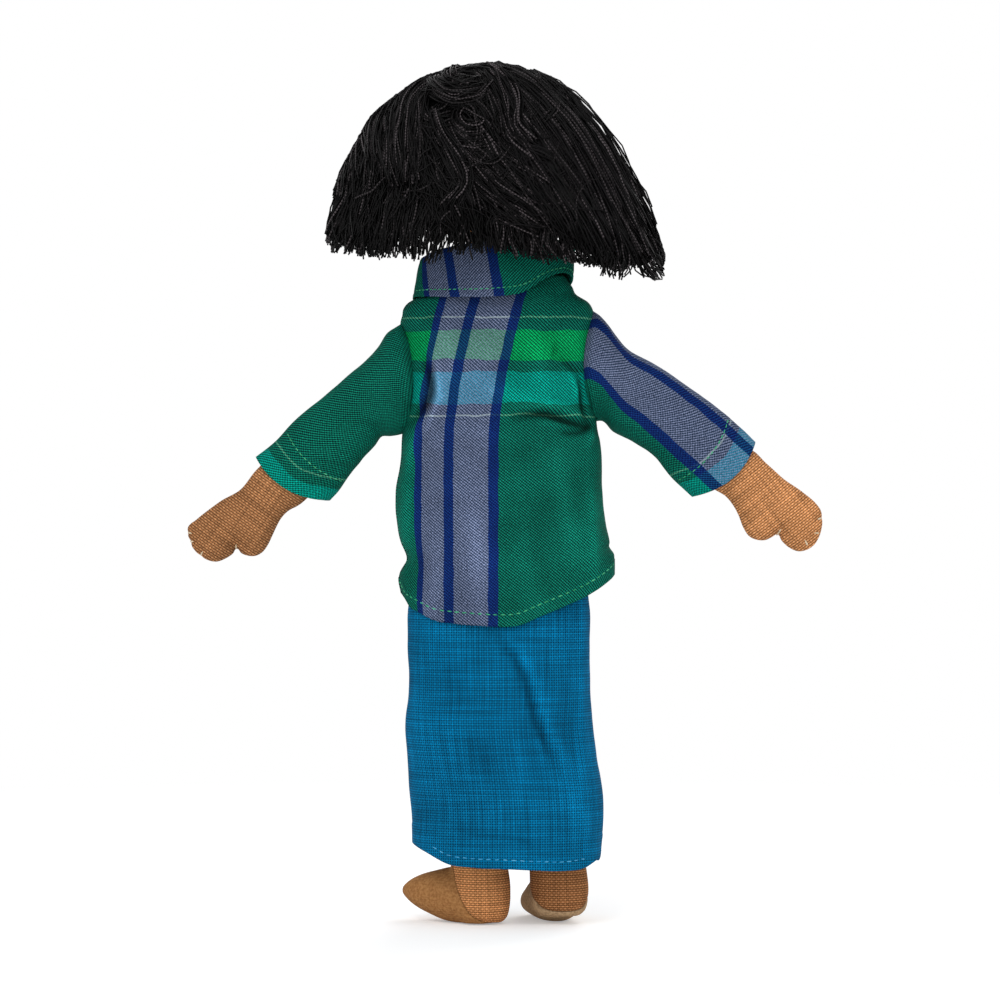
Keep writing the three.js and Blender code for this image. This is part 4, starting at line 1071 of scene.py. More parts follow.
shirt = {
    "cloth": 0.5,
    "roundness": 2.35,
    # height, left edge, right edge, half depth behind, half depth in front
    "levels": [
        (124, 43.2, -46.0, 24.4, 24.6), (138, 44.0, -46.2, 24.4, 24.6), (147, 40.8, -46.0, 24.0, 24.3),
        (156, 41.6, -43.8, 23.6, 24.0), (160, 42.4, -44.0, 23.4, 23.8), (167, 44.1, -42.2, 22.8, 23.4),
        (181, 45.2, -40.8, 21.6, 22.6), (197, 42.8, -40.4, 20.6, 21.2), (208, 42.6, -38.6, 20.2, 20.4),
        (222, 41.6, -36.4, 19.8, 19.8), (238, 41.2, -36.2, 18.8, 18.8), (250, 42.2, -37.0, 17.2, 17.2),
        (255, 43.4, -36.8, 16.4, 16.4), (258, 42.6, -34.8, 15.8, 15.8), (261, 42.0, -30.0, 15.2, 15.0),
        (264, 39.0, -28.4, 14.4, 13.8), (266.5, 33.0, -26.6, 13.4, 13.0), (269, 27.0, -25.0, 12.6, 12.2),
    ],
    # the lower edge behind: side, height
    "hem": [
        (-48, 148.5), (-46.2, 146.6), (-41.6, 142.6), (-35.3, 138.6), (-23.9, 133.4), (-13.9, 129.3),
        (-4.6, 125.6), (2.5, 125.2), (10.5, 125.6), (21, 126.4), (29.4, 127.6), (37, 131.2), (41.2, 133.6),
        (44.1, 138.6), (47, 141),
    ],
    "freeBelow": 160,  # the cloth reaches down to its hem from here
    # start, end, width, height of each fold behind and in front
    "folds": [
        ((36.0, 210), (40.0, 190), 2.0, 1.4), ((-12, 246), (-17, 222), 3.6, 0.9),
        ((24, 246), (22, 226), 3.0, 0.6), ((40, 200), (42, 150), 3.4, 1.2), ((-36, 184), (-37, 146), 3.0, 1.4),
        ((-22, 196), (-29, 150), 5.0, 1.1), ((-6, 190), (-10, 134), 5.5, 0.8), ((14, 178), (10, 128), 5.5, 0.9),
        ((27, 170), (30, 130), 4.0, 0.8), ((8, 225), (-18, 217), 3.4, 0.9), ((16, 207), (-4, 203), 3.0, 0.8),
    ],
    "frontFolds": [((28, 200), (38, 209), 2, 1.0), ((-26, 203), (-35, 211), 2, 1.0)],
    # line, width and height of each crease behind
    "creases": [
        ([(33.6, 236), (32, 230), (31.6, 222), (34, 216.4), (39.4, 209.6)], 1.9, -2.4),
        ([(28.6, 237), (27.6, 229), (27, 221), (29.6, 214), (33, 207)], 1.5, 1.6),
        ([(-38, 206.6), (-35.7, 207.9), (-30, 209.2), (-24.4, 210.6), (-20, 212.2), (-16.8, 213.2),
          (-10.5, 213), (-4, 212)], 1.7, -2.8),
        ([(-33, 212.8), (-27, 214.9), (-20, 216.6), (-10, 216.2)], 1.6, 1.3),
        ([(-36, 208.2), (-32.6, 206.2), (-28.4, 205.4), (-23, 205.8)], 1.2, -1.9),
        ([(-27, 208.2), (-20, 209.4), (-13, 210)], 1.3, 1.0),
        ([(-37.8, 208), (-36, 204), (-34.6, 199)], 1.2, 1.1),
        ([(-30.8, 230), (-31.8, 224), (-32.2, 218.8), (-33.6, 212.6), (-36, 209.4)], 1.1, -2.1),
        ([(-26.6, 230), (-29, 224.5), (-30, 218.8)], 1.2, 1.1),
        ([(-23.6, 236), (-27.4, 233), (-31, 230.4)], 1.2, -1.5),
        ([(-21.6, 244), (-20, 236)], 1.2, -0.9),
    ],
    # the clamped part of each crease shows only as painted shade
    "deepest": -1.1,  # deeper creases would show the torso, so that the rest is left to their tone
    "lean": 11.2,  # how far the upright stripes drift to the doll's right at the neck
    "leanFrom": 200,
    "leanTo": 262,
    "lumps": ((24, 6, 0.9), (8, 7, 0.28)),
    "hemDepth": 6.4,
    "hemThickness": 0.25,
    "stitch": {"spacing": 3.2, "length": 2.0, "radius": 0.26, "sink": 0.45, "seed": 41},
}


# The whole shirt body as one closed grid, before it is cut at the side seams and the front
def shirtBody():
    columns, rows = 320, 150
    levels, hem = np.array(shirt["levels"]), np.array(shirt["hem"])
    bottom = levels[0, 0]
    across, out = section(columns, shirt["roundness"])
    base = np.interp(np.linspace(0, 1, rows), [0, 0.8, 1], [bottom, 250, levels[-1, 0]])[:, None]
    left, right, back, front = smooth(levels[:, 0], levels[:, 1:], base[:, 0]).T[..., None]
    middle = (left + right) / 2
    x = middle + (left - right) / 2 * across
    low = smooth(hem[:, 0], hem[:, 1], x[8])
    z = base + np.clip((shirt["freeBelow"] - base) / (shirt["freeBelow"] - bottom), 0, 1) * (low - bottom)
    z = z + tiltAt(across, z)
    points = np.stack([x, np.where(out > 0, back, front) * out, z], axis=-1)
    rise = runLength(points)
    anchor = np.argmin(np.abs(z - 190), axis=0), np.arange(columns)
    height = rise - rise[anchor] + z[anchor]
    # the plaid's place runs from the middle of the back, and for the fronts from their opening
    behind = rowDistance(points, columns // 4)[:, :-1]
    ahead = rowDistance(points, 3 * columns // 4)[:, :-1]
    span = rowDistance(points, 0)[:, -1:]
    ahead = np.where(middle - ahead > span / 2, ahead + span, ahead)
    share = np.clip((z - shirt["leanFrom"]) / (shirt["leanTo"] - shirt["leanFrom"]), 0, 1.2)
    backFlat = np.stack([middle - behind + shirt["lean"] * share**1.6, height], axis=-1)
    frontFlat = np.stack([middle + ahead, height], axis=-1)
    lift = raised(foldShare, x, z, shirt["folds"]) * (out > -0.2)
    lift += raised(creaseShare, x, z, shirt["creases"]) * (out > 0)
    lift += raised(foldShare, x, z, shirt["frontFolds"]) * (out < 0)
    lift += lumpyCloth(points, shirt["lumps"], np.clip((215 - z) / 50, 0.3, 1))
    lift += np.where(z - low < shirt["hemDepth"], shirt["hemThickness"], 0)
    return points + gridNormals(points) * np.maximum(lift, shirt["deepest"])[..., None], backFlat, frontFlat, lift


def makeShirt():
    points, backFlat, frontFlat, lift = shirtBody()
    columns, normals = points.shape[1], gridNormals(points)
    middle = 3 * columns // 4
    panels = {}
    # name, node, flat places, first and last column, and how far the panel lies inwards
    for name, node, flat, first, last, inset in (
        ("plaidShirtBack", "shirt_back", backFlat, -3, columns // 2 + 3, 0),
        ("plaidShirtFront_left", "shirt_front_left", frontFlat, middle - 5, columns, -0.5),
        ("plaidShirtFront_right", "shirt_front_right", frontFlat, columns // 2, middle + 5, 0.35),
    ):
        part = np.arange(first, last + 1) % columns
        panel = points[:, part] - normals[:, part] * inset
        piece = clothPiece(name, panel, flat[:, part], shirt["cloth"], lift[:, part])
        if node == "shirt_back":
            hem = [(side, height + shirt["hemDepth"] - 1.4) for side, height in shirt["hem"][1:-1]]
            line = smoothPath(hem, 140)
            threads = sewnLine("shirtHemStitch", piece, line, "torso", "plaid_cotton", greenThread, **shirt["stitch"])
            finish(piece, "torso", "plaid_cotton", plaidCloth, node)
        else:
            finish(piece, None, "plaid_cotton", plaidCloth, node)
            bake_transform(piece)
        panels[node] = piece
    print("shirt made")
    return panels


shirtPanels = makeShirt()

# Sleeves: the outline from the armhole to the cuff, in the XZ plane
sleeves = {
    "left": {
        "sign": 1,
        "upper": [
            (43.4, 252.2), (46, 250.6), (49.6, 248.2), (53.4, 242.2), (58, 236.8), (68.5, 227.6), (86.1, 212.9),
            (97.9, 201.2), (104.6, 195.7),
        ],
        "lower": [
            (39.4, 207.4), (43.6, 205.6), (47.9, 204.8), (51.7, 204.6), (54.6, 200.6), (59.2, 195.3),
            (65.9, 186.9), (70.6, 180.6), (73.4, 177.4),
        ],
        "rootBulge": 4.4,
        "cuffCloth": 224.0,  # the cloth's place in the plaid at the cuff's edge
        "cuffDepth": 11.2,  # the cuff's stitch line, from its edge
        "clothStart": -12.0,
        "lumps": ((20, 13, 0.7), (7, 13, 0.22)),
        "folds": [
            ((84, 199), (73, 194.6), 1.5, 1.0), ((73, 194.6), (62.5, 194.2), 1.6, 1.1),
            ((59, 209.6), (52.6, 206.8), 1.4, -1.1), ((62, 213), (66, 222), 3.5, 0.6),
            ((50, 236), (47, 214), 2.6, 0.7), ((88, 206), (80, 184), 5, 0.5),
        ],
    },
    "right": {
        "sign": -1,
        "upper": [
            (-37.0, 257.6), (-39.4, 256), (-42.6, 252.6), (-46.8, 246.6), (-51.2, 241.7), (-62.2, 235.2),
            (-75.2, 226.6), (-86.8, 218), (-98.4, 208.3), (-105.2, 202.2),
        ],
        "lower": [
            (-37.2, 210.6), (-40.7, 210.9), (-45.4, 206.6), (-49.6, 204.4), (-53.8, 202.3), (-63, 195.7),
            (-71, 186.1), (-75, 182.2), (-78.5, 179.0),
        ],
        "rootBulge": 5.6,
        "cuffCloth": 226.6,
        "cuffDepth": 10.0,
        "clothStart": 31.5,
        "lumps": ((20, 11, 0.7), (7, 13, 0.22)),
        "folds": [
            ((-64, 226), (-58, 206), 4, 0.6), ((-80, 213), (-73, 194), 4, 0.5),
            ((-47, 234), (-44, 216), 3, 0.6), ((-56, 208), (-46, 211), 1.8, 0.8),
        ],
    },
    "cloth": 0.5,
    # share of the way from the armhole to the cuff, half depth
    "depths": [(0, 6), (0.03, 11.5), (0.07, 13.4), (0.16, 14.2), (0.3, 12.8), (0.6, 11), (1, 10.4)],
    "cuffBulge": 5.0,
    "clothSlope": -0.853,  # how fast the plaid runs round the sleeve
    "stitch": {"spacing": 2.6, "length": 1.9, "radius": 0.24, "sink": 0.45, "seed": 51},
}


def makeSleeve(side):
    plan, arm = sleeves[side], f"arm_{side}"
    rows, columns = 96, 128
    upper, lower = smoothPath(plan["upper"], rows), smoothPath(plan["lower"], rows)
    share = np.linspace(0, 1, rows)[:, None]
    depth = smooth(*np.array(sleeves["depths"]).T, share)
    up, out = section(columns, 2.2)
    middle, half = (upper + lower) / 2, (upper - lower) / 2
    chord = half / np.linalg.norm(half, axis=1, keepdims=True)
    forward = np.column_stack([chord[:, 1], -chord[:, 0]]) * plan["sign"]
    bulge = sleeves["cuffBulge"] * share**2 - plan["rootBulge"] * (1 - share) ** 6
    bulge = bulge * (1 - up**2)
    x = middle[:, :1] + half[:, :1] * up + forward[:, :1] * bulge
    z = middle[:, 1:] + half[:, 1:] * up + forward[:, 1:] * bulge
    points = np.stack([x, depth * out, z], axis=-1)
    distance = rowDistance(points, 0)
    distance = np.where(distance > distance[:, -1:] / 2, distance - distance[:, -1:], distance)
    distance[:, -1] = 0
    arc = runLength(points)
    arc = arc[-1] - arc
    # the plaid runs round the sleeve from its upper edge, and its bands from the cuff
    arc = np.concatenate([arc, arc[:, :1]], axis=1)
    flat = np.stack([plan["clothStart"] + sleeves["clothSlope"] * distance, plan["cuffCloth"] - arc], axis=-1)
    lift = raised(foldShare, x, z, plan["folds"]) + lumpyCloth(points, plan["lumps"])
    points += gridNormals(points) * lift[..., None]
    piece = clothPiece(f"plaidSleeve_{side}", points, unwrapFlat(flat), sleeves["cloth"])
    finish(piece, None, "plaid_cotton", plaidCloth, f"sleeve_{side}")
    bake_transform(piece)
    long = np.linalg.norm(middle[-1] - middle[0])
    cut = rows - 1 - round((plan["cuffDepth"] + 1.5) / long * (rows - 1))
    bow = forward[cut] * sleeves["cuffBulge"] * share[cut] ** 2
    line = [middle[cut] + half[cut] * 0.94 * t + bow * (1 - t * t) for t in np.linspace(-1, 1, 9)]
    stitches = [
        sewnLine(
            f"cuffStitch_{side}_{word}", piece, smoothPath(line, 60), arm, "plaid_cotton", greenThread, face,
            **sleeves["stitch"],
        )
        for word, face in (("back", 1), ("front", -1))
    ]
    print("sleeve", side, "made")


# The last column continues the flat places of the one before it, so that no face folds over
def unwrapFlat(flat):
    across = flat[..., 0].copy()
    jump = np.abs(np.diff(across, axis=1))
    broken, rows = np.argmax(jump, axis=1), np.arange(len(flat))
    before = across[rows, broken]
    result = flat.copy()
    result[rows, broken + 1, 0] = np.where(
        jump[rows, broken] > 10 * np.median(jump),
        2 * before - across[rows, broken - 1],
        across[rows, broken + 1],
    )
    return result


makeSleeve("left")
makeSleeve("right")

# Fold-down collar: the stand inside, the fold under the hair, and the fall with its free edge
collar = {
    "cloth": 0.9,
    "halfTurn": 158,
    "frontDrop": 9,
    "tilt": 2.7,
    # half width, half depth and height of the stand's foot, and of the fold
    "stand": (21.5, 14.5, 266),
    "fold": (31.6, 18.6, 286),
    "foldRadius": 0.9,
    "foldRise": 1.2,
    "standShare": 0.38,  # of the rows
    "foldShare": 0.5,
    "edgeHalfDepth": 21.6,
    # the free edge: turn from straight behind towards the doll's left, half width, height
    "edge": [
        (-158, 24, 250), (-140, 29, 252), (-110, 28.6, 263), (-80, 31.6, 270.4), (-55, 32.6, 272.4),
        (-36, 32.6, 269.4), (-20, 33.0, 264.2), (0, 34.2, 262.2), (30, 35.2, 262.0), (60, 35.6, 262.6),
        (90, 35.4, 262.0), (115, 34.0, 257), (140, 28.8, 249.5), (158, 23.6, 246.5),
    ],
    "edgeThickness": 0.25,
    "lumps": ((9, 21, 0.5), (3.5, 22, 0.14)),
    "stitch": {"spacing": 2.3, "length": 1.6, "radius": 0.22, "sink": 0.45, "seed": 61},
}


def makeCollar():
    rows, columns = 44, 240
    turns = np.linspace(-collar["halfTurn"], collar["halfTurn"], columns)
    edge = np.array(collar["edge"])
    edgeWide, edgeHigh = smooth(edge[:, 0], edge[:, 1:], turns).T
    side, back = np.sin(np.radians(turns)), np.cos(np.radians(turns))
    front = (1 - back) / 2
    standWide, standDeep, standHigh = collar["stand"]
    foldWide, foldDeep, foldHigh = collar["fold"]
    radius = collar["foldRadius"]
    shoulder = foldHigh - collar["frontDrop"] * front - collar["tilt"] * side - collar["foldRise"]
    foot = standHigh - 6 * front
    lines = []
    for step in np.linspace(0, 1, rows):
        shift = 0
        if step < collar["standShare"]:  # up from the neck seam
            t = step / collar["standShare"]
            wide = standWide + (foldWide - radius - standWide) * t
            deep = standDeep + (foldDeep - radius - standDeep) * t
            z = foot + (shoulder - foot) * t
        elif step < collar["foldShare"]:  # over the fold
            t = (step - collar["standShare"]) / (collar["foldShare"] - collar["standShare"]) * math.pi
            wide, deep = foldWide - radius * math.cos(t), foldDeep - radius * math.cos(t)
            z = shoulder + collar["foldRise"] * math.sin(t)
        else:  # down to the free edge
            t = (step - collar["foldShare"]) / (1 - collar["foldShare"])
            wide = foldWide + radius + (edgeWide - foldWide - radius) * t**0.8
            deep = foldDeep + radius + (collar["edgeHalfDepth"] - foldDeep - radius) * t**0.8
            z = shoulder + (edgeHigh - shoulder) * t
            shift = 0.35 * math.sin(t * math.pi)
        lines.append(np.column_stack([trunk["middle"] + (wide + shift) * side, (deep + shift) * back, z]))
    points = np.array(lines)
    share = np.clip((np.linspace(0, 1, rows) - 0.5) / 0.5, 0, 1)[:, None]
    distance = rowDistance(points, columns // 2)[:, :-1] + 2.1 + 3.8 * share
    flat = np.stack([distance, 150 + runLength(points)], axis=-1)
    crumple = lumpyCloth(points, collar["lumps"]) + np.where(share > 0.9, collar["edgeThickness"], 0)
    points += gridNormals(points, False) * crumple[..., None]
    piece = clothPiece("plaidCollar", points, flat, collar["cloth"])
    finish(piece, "torso", "plaid_cotton", plaidCloth, "collar")
    line = [(x, z + 0.3) for x, y, z in points[-4] if y > 4]
    stitches = sewnLine("collarTopstitch", piece, line, "torso", "plaid_cotton", greenThread, **collar["stitch"])
    print("collar made")


makeCollar()

# Waistband of the skirt, under the shirt, with the gathers of its elastic
waistband = {"cloth": 1.4, "inset": 0.4, "gathers": 60, "gatherHeight": 0.35}


def makeWaistband():
    low, high = (np.array(corner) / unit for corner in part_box("skirt_waistband"))
    columns, rows = 240, 14
    across, out = section(columns, 2.3)
    wide, deep, tall = (high - low) / 2
    share = np.linspace(0, 1, rows)[:, None]
    turn = np.linspace(0, 2 * math.pi, columns, endpoint=False)
    gather = waistband["gatherHeight"] * np.sin(turn * waistband["gathers"]) * np.sin(share * math.pi)
    x = (low + high)[0] / 2 + (wide - waistband["inset"] + gather) * across
    y = (deep - waistband["inset"] + gather) * out
    z = low[2] + 2 * tall * share + 0 * x
    points = np.stack([x, y, z], axis=-1)
    flat = np.stack([rowDistance(points, columns // 4), np.concatenate([z, z[:, :1]], axis=1)], axis=-1)
    piece = clothPiece("gatheredWaistband", points, flat, waistband["cloth"])
    finish(piece, "torso", "blue_cotton", blueCloth, "skirt_waistband")
    print("waistband made")


makeWaistband()

# Buttons down the front: turned blanks with a rim, four holes and a cross of thread
buttons = {
    "count": 4,
    "radius": 3.2,
    "thickness": 1.4,
    "rim": 0.75,
    "dish": 0.35,
    "roundedEdge": 0.18,
    "holeRadius": 0.42,
    "holeSpacing": 0.85,
}


def addRod(vertices, radius, depth, place):
    bpy.ops.mesh.primitive_cylinder_add(
        vertices=vertices,
        radius=radius * unit,
        depth=depth * unit,
        location=Vector(place) * unit,
        rotation=(math.radians(90), 0, 0),
    )
    return bpy.context.object


def makeButton(number):
    x, _, z = sum(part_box(f"button_{number}"), Vector()) / 2 / unit
    front = dropOnto(shirtPanels["shirt_front_left"], [(x, z)], -1)[0][0][1] - buttons["thickness"] / 2 - 0.2
    button = addRod(48, buttons["radius"], buttons["thickness"], (x, front, z))
    button.name = f"resinButton_{number}"
    bpy.ops.object.transform_apply(location=True, rotation=True, scale=True)
    bpy.ops.object.mode_set(mode="EDIT")
    bpy.ops.mesh.select_mode(type="FACE")
    bpy.ops.object.mode_set(mode="OBJECT")
    for polygon in button.data.polygons:
        polygon.select = polygon.normal.y < -0.9
    bpy.ops.object.mode_set(mode="EDIT")
    bpy.ops.mesh.inset(thickness=buttons["rim"] * unit)
    bpy.ops.transform.translate(value=(0, buttons["dish"] * unit, 0))
    bpy.ops.mesh.select_all(action="DESELECT")
    bpy.ops.object.mode_set(mode="OBJECT")
    edge = {"limit_method": "ANGLE", "angle_limit": math.radians(30)}
    applyModifier(button, "BEVEL", width=buttons["roundedEdge"] * unit, segments=3, **edge)
    reach = buttons["holeSpacing"]
    for sideways in (-reach, reach):
        for upwards in (-reach, reach):
            drill = addRod(14, buttons["holeRadius"], 4, (x + sideways, front, z + upwards))
            applyModifier(button, "BOOLEAN", operation="DIFFERENCE", object=drill, solver="EXACT")
            bpy.data.objects.remove(drill)
    selectOnly(button)
    bpy.ops.object.shade_smooth_by_angle(angle=math.radians(35))
    finish(button, "torso", "button", buttonResin, f"button_{number}")
    cross, out = [], np.array([0, -1, 0])
    for slope in (-1.1, 1.1):
        line = [(np.array([x + t * reach * 1.1, front - 0.5, z + t * slope * reach]), out) for t in (-1, 0, 1)]
        cross.append(stitchPiece("buttonThread", line, reach * 3, reach * 3, 0.26, unevenness=0.05))
    finish(joinPieces(f"buttonThread_{number}", cross), "torso", "plaid_cotton", greenThread)


for buttonNumber in range(1, buttons["count"] + 1):
    makeButton(buttonNumber)
print("buttons made")


# ---- hair


# The bob's outer shape, its layers of threads and the locks that are laid on its back
hair = {
    "middle": (3, -1.8),
    "top": 357.2,
    # turn from the doll's left by way of behind, reach, height of the cut ends, fullness of the crown
    "rim": [
        (-90, 40.5, 326, 1.9), (-68, 44, 322, 1.9), (-50, 52, 294, 1.85), (-25, 63, 282, 1.8),
        (0, 70.0, 285, 1.74), (25, 65, 278.5, 1.74), (60, 49, 277.5, 1.7), (90, 41, 278.5, 1.6),
        (120, 46.5, 276, 1.5), (150, 60, 273, 1.28), (180, 67.6, 280, 1.13), (205, 62, 281, 1.25),
        (230, 50, 294, 1.6), (248, 44, 322, 1.85), (270, 40.5, 326, 1.9),
    ],
    "flare": 1.8,
    "whorl": (0.2, 0.16),  # where the threads fan out: shares of the way to the rim, left and behind
    "strand": 0.38,  # radius of a thread
    "segments": 12,
    "lockShare": 0.5,
    "lockHang": 2.4,  # how far the laid locks hang beyond their runs
    "strays": 130,  # loose threads lying across the locks
    # name, threads, locks, deepest place under the surface, shortest and longest share
    "layers": [
        ("hairUnder", 1600, 120, 7.5, 0.86, 1.0), ("hairMiddle", 1200, 100, 4.5, 0.78, 1.01),
        ("hairOuter", 800, 80, 2.2, 0.6, 1.02),
    ],
    # locks laid on the back: their run (side, height), half width, lift and number of threads
    "locks": [
        ([(12.2, 360.1), (-4.9, 356.8), (-21, 349), (-33.9, 337.8), (-45.1, 323.3), (-54.2, 306.7),
          (-61.7, 291.7), (-68.1, 281)], 7, 0.5, 150),
        ([(11.1, 359), (-4.9, 352.8), (-19.4, 341), (-30.6, 327.1), (-40.3, 312.1), (-49.4, 297.1),
          (-56.9, 284.2), (-61.7, 275.7)], 8, 1.1, 150),
        ([(10.1, 357.6), (-3.9, 347.4), (-15.6, 333.5), (-25.3, 318.5), (-34.4, 303.5), (-42.4, 290.7),
          (-47.8, 278.9)], 8, 2.6, 150),
        ([(9.5, 356), (-1.7, 343.1), (-10.3, 329.2), (-18.3, 315.3), (-26.4, 302.4), (-33.9, 289.6),
          (-38.7, 279.9)], 8, 2.2, 140),
        ([(10.6, 354.9), (2.6, 343.1), (-3.9, 331.4), (-9.2, 319.6), (-16.7, 306.7), (-24.2, 294.9),
          (-29.6, 283.2)], 7, 2.8, 120),
        ([(12.2, 355.5), (6.3, 345.3), (2, 334.6), (-0.7, 326), (-7.1, 320.6), (-15.6, 316.4)], 4, 3.4, 70),
        ([(9, 358.1), (0.4, 349.6), (-3.9, 339.9), (-4.9, 331.4), (-10.3, 323.9)], 4, 3.8, 60),
        ([(-10.3, 354.9), (-16.7, 346.4), (-21, 338.9), (-19.4, 334.6), (-16.7, 332.4)], 3, 3.2, 40),
        ([(-8.1, 356), (-21, 346.4), (-31.7, 334.6), (-41.3, 320.6), (-49.9, 304.6),
          (-56.3, 291.7)], 5, 3.4, 80),
        ([(6.8, 357.1), (-7.1, 349.6), (-22.1, 335.6), (-32.8, 319.6), (-41.3, 303.5), (-47.8, 289.6),
          (-54.2, 276.7)], 5, 3.8, 80),
        ([(26.1, 336.7), (20.8, 326), (13.3, 316.4), (3.6, 306.7), (-6, 299.2), (-15.6, 291.7)], 8, 1.6, 140),
        ([(19.7, 334.6), (12.2, 321.7), (1.5, 312.1), (-9.2, 304.6), (-19.9, 297.1),
          (-27.4, 289.6)], 7, 1.2, 120),
        ([(11.1, 331.4), (1.5, 318.5), (-8.1, 311), (-16.7, 304.6), (-25.3, 297.1)], 6, 2.0, 90),
        ([(6.8, 339.9), (0.4, 324.9), (-10.3, 319.6), (-19.9, 315.3)], 5, 1.4, 70),
        ([(32.5, 334.6), (29.3, 323.9), (25.1, 313.1), (20.8, 303.5), (16.5, 292.8)], 7, 2.4, 120),
        ([(28.3, 338.9), (26.1, 328.1), (19.7, 316.4), (17.6, 306.7), (21.8, 298.2)], 4, 3.0, 60),
        ([(35.8, 332.4), (32.5, 320.6), (28.3, 308.9), (26.1, 298.2), (25.1, 291.7)], 6, 1.4, 90),
        ([(16.5, 321.7), (9, 319.6), (-1.7, 318.5), (-10.3, 316.4)], 5, 0.9, 60),
        ([(20.8, 359), (30.4, 354.7), (40, 348.5), (45.4, 339.9), (48.6, 330.3), (50.2, 319.6),
          (49.2, 308.9)], 7, 2.6, 130),
        ([(22.9, 356.5), (32.5, 350.6), (40, 342.1), (42.2, 331.4), (42.7, 320.6), (42.2, 307.8)], 7, 3.2, 120),
        ([(26.1, 352.8), (33.6, 345.3), (37.4, 335.6), (37.9, 326), (37.4, 316.4), (37.9, 308.9)], 6, 2.8, 100),
        ([(30.4, 354.4), (41.1, 347.4), (49.7, 337.8), (55, 327.1), (57.2, 317.4), (58, 307.8)], 7, 2.4, 120),
        ([(35.8, 351.7), (46.5, 343.1), (55, 333.5), (60.9, 323.9), (64.1, 315.3), (65.8, 305.7)], 7, 2.0, 110),
        ([(43.3, 346.4), (54, 335.6), (62, 327.1), (66.8, 317.4), (69, 306.7)], 6, 1.6, 90),
        ([(40, 349.6), (44.3, 348.5), (46.5, 342.1), (50.8, 334.6), (51.8, 326), (50.8, 316.4)], 3, 3.8, 40),
        ([(59.3, 323.9), (63.6, 311), (69, 298.2), (74.9, 287.4)], 6, 0.6, 90),
        ([(54, 321.7), (58.3, 306.7), (63.1, 293.9), (65.8, 282.1)], 7, 0.4, 90),
        ([(47.5, 320.6), (50.8, 305.7), (55, 291.7), (57.2, 280.5)], 7, 0.3, 90),
        ([(41.1, 319.6), (43.3, 304.6), (46.5, 291.7), (48.1, 279.4)], 7, 0.2, 80),
        ([(35.8, 318.5), (36.3, 302.4), (39, 289.6), (40, 278.9)], 6, 0.2, 80),
        ([(30.4, 317.4), (30.4, 302.4), (32.5, 289.6), (34.2, 277.3)], 6, 0.2, 80),
        ([(26.1, 311), (25.1, 300.3), (24, 291.7), (24.5, 284.2)], 6, 0.3, 60),
        ([(17.6, 306.7), (16.5, 297.1), (15.4, 288.5), (14.9, 282.6)], 6, 0.3, 60),
        ([(6.8, 302.4), (5.8, 293.9), (4.2, 286.4), (3.6, 281)], 6, 0.3, 60),
        ([(-3.9, 300.3), (-6, 291.7), (-7.6, 284.2), (-8.7, 279.4)], 6, 0.4, 60),
        ([(-14.6, 298.2), (-16.7, 289.6), (-18.3, 282.1), (-19.4, 277.8)], 6, 0.5, 60),
        ([(-25.3, 296), (-27.4, 287.4), (-29, 282.1), (-30.1, 277.8)], 6, 0.6, 70),
        ([(-34.9, 296), (-37.1, 287.4), (-38.7, 279.9), (-39.7, 275.7)], 6, 0.8, 70),
        ([(-42.4, 292.8), (-44, 284.2), (-44, 276.7), (-43, 271.4)], 5, 1.0, 60),
        ([(-52.1, 291.7), (-55.3, 283.2), (-58.5, 276.7), (-62.8, 272.5)], 5, 1.0, 70),
        ([(-58.5, 292.8), (-63.8, 285.3), (-68.1, 281), (-71.1, 279.4)], 4, 0.8, 60),
        ([(26.1, 355.5), (27.7, 349.6), (24, 345.3), (16.5, 344.7), (9, 346.4)], 4, 3.4, 50),
        ([(30.4, 353.8), (29.3, 348.5), (24, 343.7), (16.5, 342.1), (11.1, 343.7), (7.4, 347.4)], 4, 3.0, 50),
        ([(17.6, 358.1), (21.8, 354.9), (24, 350.6), (21.8, 347.4), (16.5, 346.9)], 4, 3.8, 45),
        ([(21.8, 342.1), (26.1, 337.8), (26.1, 331.4), (19.7, 326), (11.1, 325.5), (4.7, 329.2), (4.2, 335.6),
          (9, 339.9)], 5, 1.8, 70),
        ([(17.6, 338.9), (20.2, 334.6), (17.6, 329.8), (11.1, 329.2), (7.9, 333.5), (11.1, 337.8)], 4, 2.2, 50),
        ([(35.8, 344.7), (28.3, 345.3), (19.7, 343.7), (11.1, 338.9), (6.8, 331.4)], 5, 2.6, 60),
        ([(39, 343.7), (37.9, 338.9), (34.7, 334.6), (28.3, 332.4), (21.8, 333.5)], 4, 2.4, 50),
        ([(9, 346.4), (4.7, 339.9), (6.3, 332.4), (3.6, 327.1)], 3, 3.0, 40),
        ([(31, 354.0), (23, 357.0), (14, 357.5), (4, 356.4), (-6, 353.4)], 4, 1.8, 90),
        ([(2, 355.5), (10, 357.0), (19, 357.2), (27, 355.6), (35, 351.0)], 4, 2.2, 80),
        ([(24, 351), (17, 355), (8, 356), (0, 352), (-6, 345)], 4, 2.6, 60),
    ],
}


# A place on the bob: the turn about its middle, the share of the way from the crown to the rim
def bobPlace(turn, way, under=0.0, spread=0.0):
    rim = np.array(hair["rim"])
    reach, rimHeight, fullness = np.moveaxis(smooth(rim[:, 0], rim[:, 1:], (np.degrees(turn) + 90) % 360 - 90), -1, 0)
    along = np.clip(way, 0, 1)
    t = along * math.pi / 2
    out = reach * np.sin(t) ** (2 / 2.15) - under + spread * along**3
    x, y = hair["middle"][0] + out * np.cos(turn), hair["middle"][1] + out * np.sin(turn)
    z = rimHeight + (hair["top"] - rimHeight) * np.cos(t) ** (2 / fullness)
    return np.stack([x, y, z - np.maximum(way - 1, 0) * 70 - under * np.cos(t) * 0.9], axis=-1)


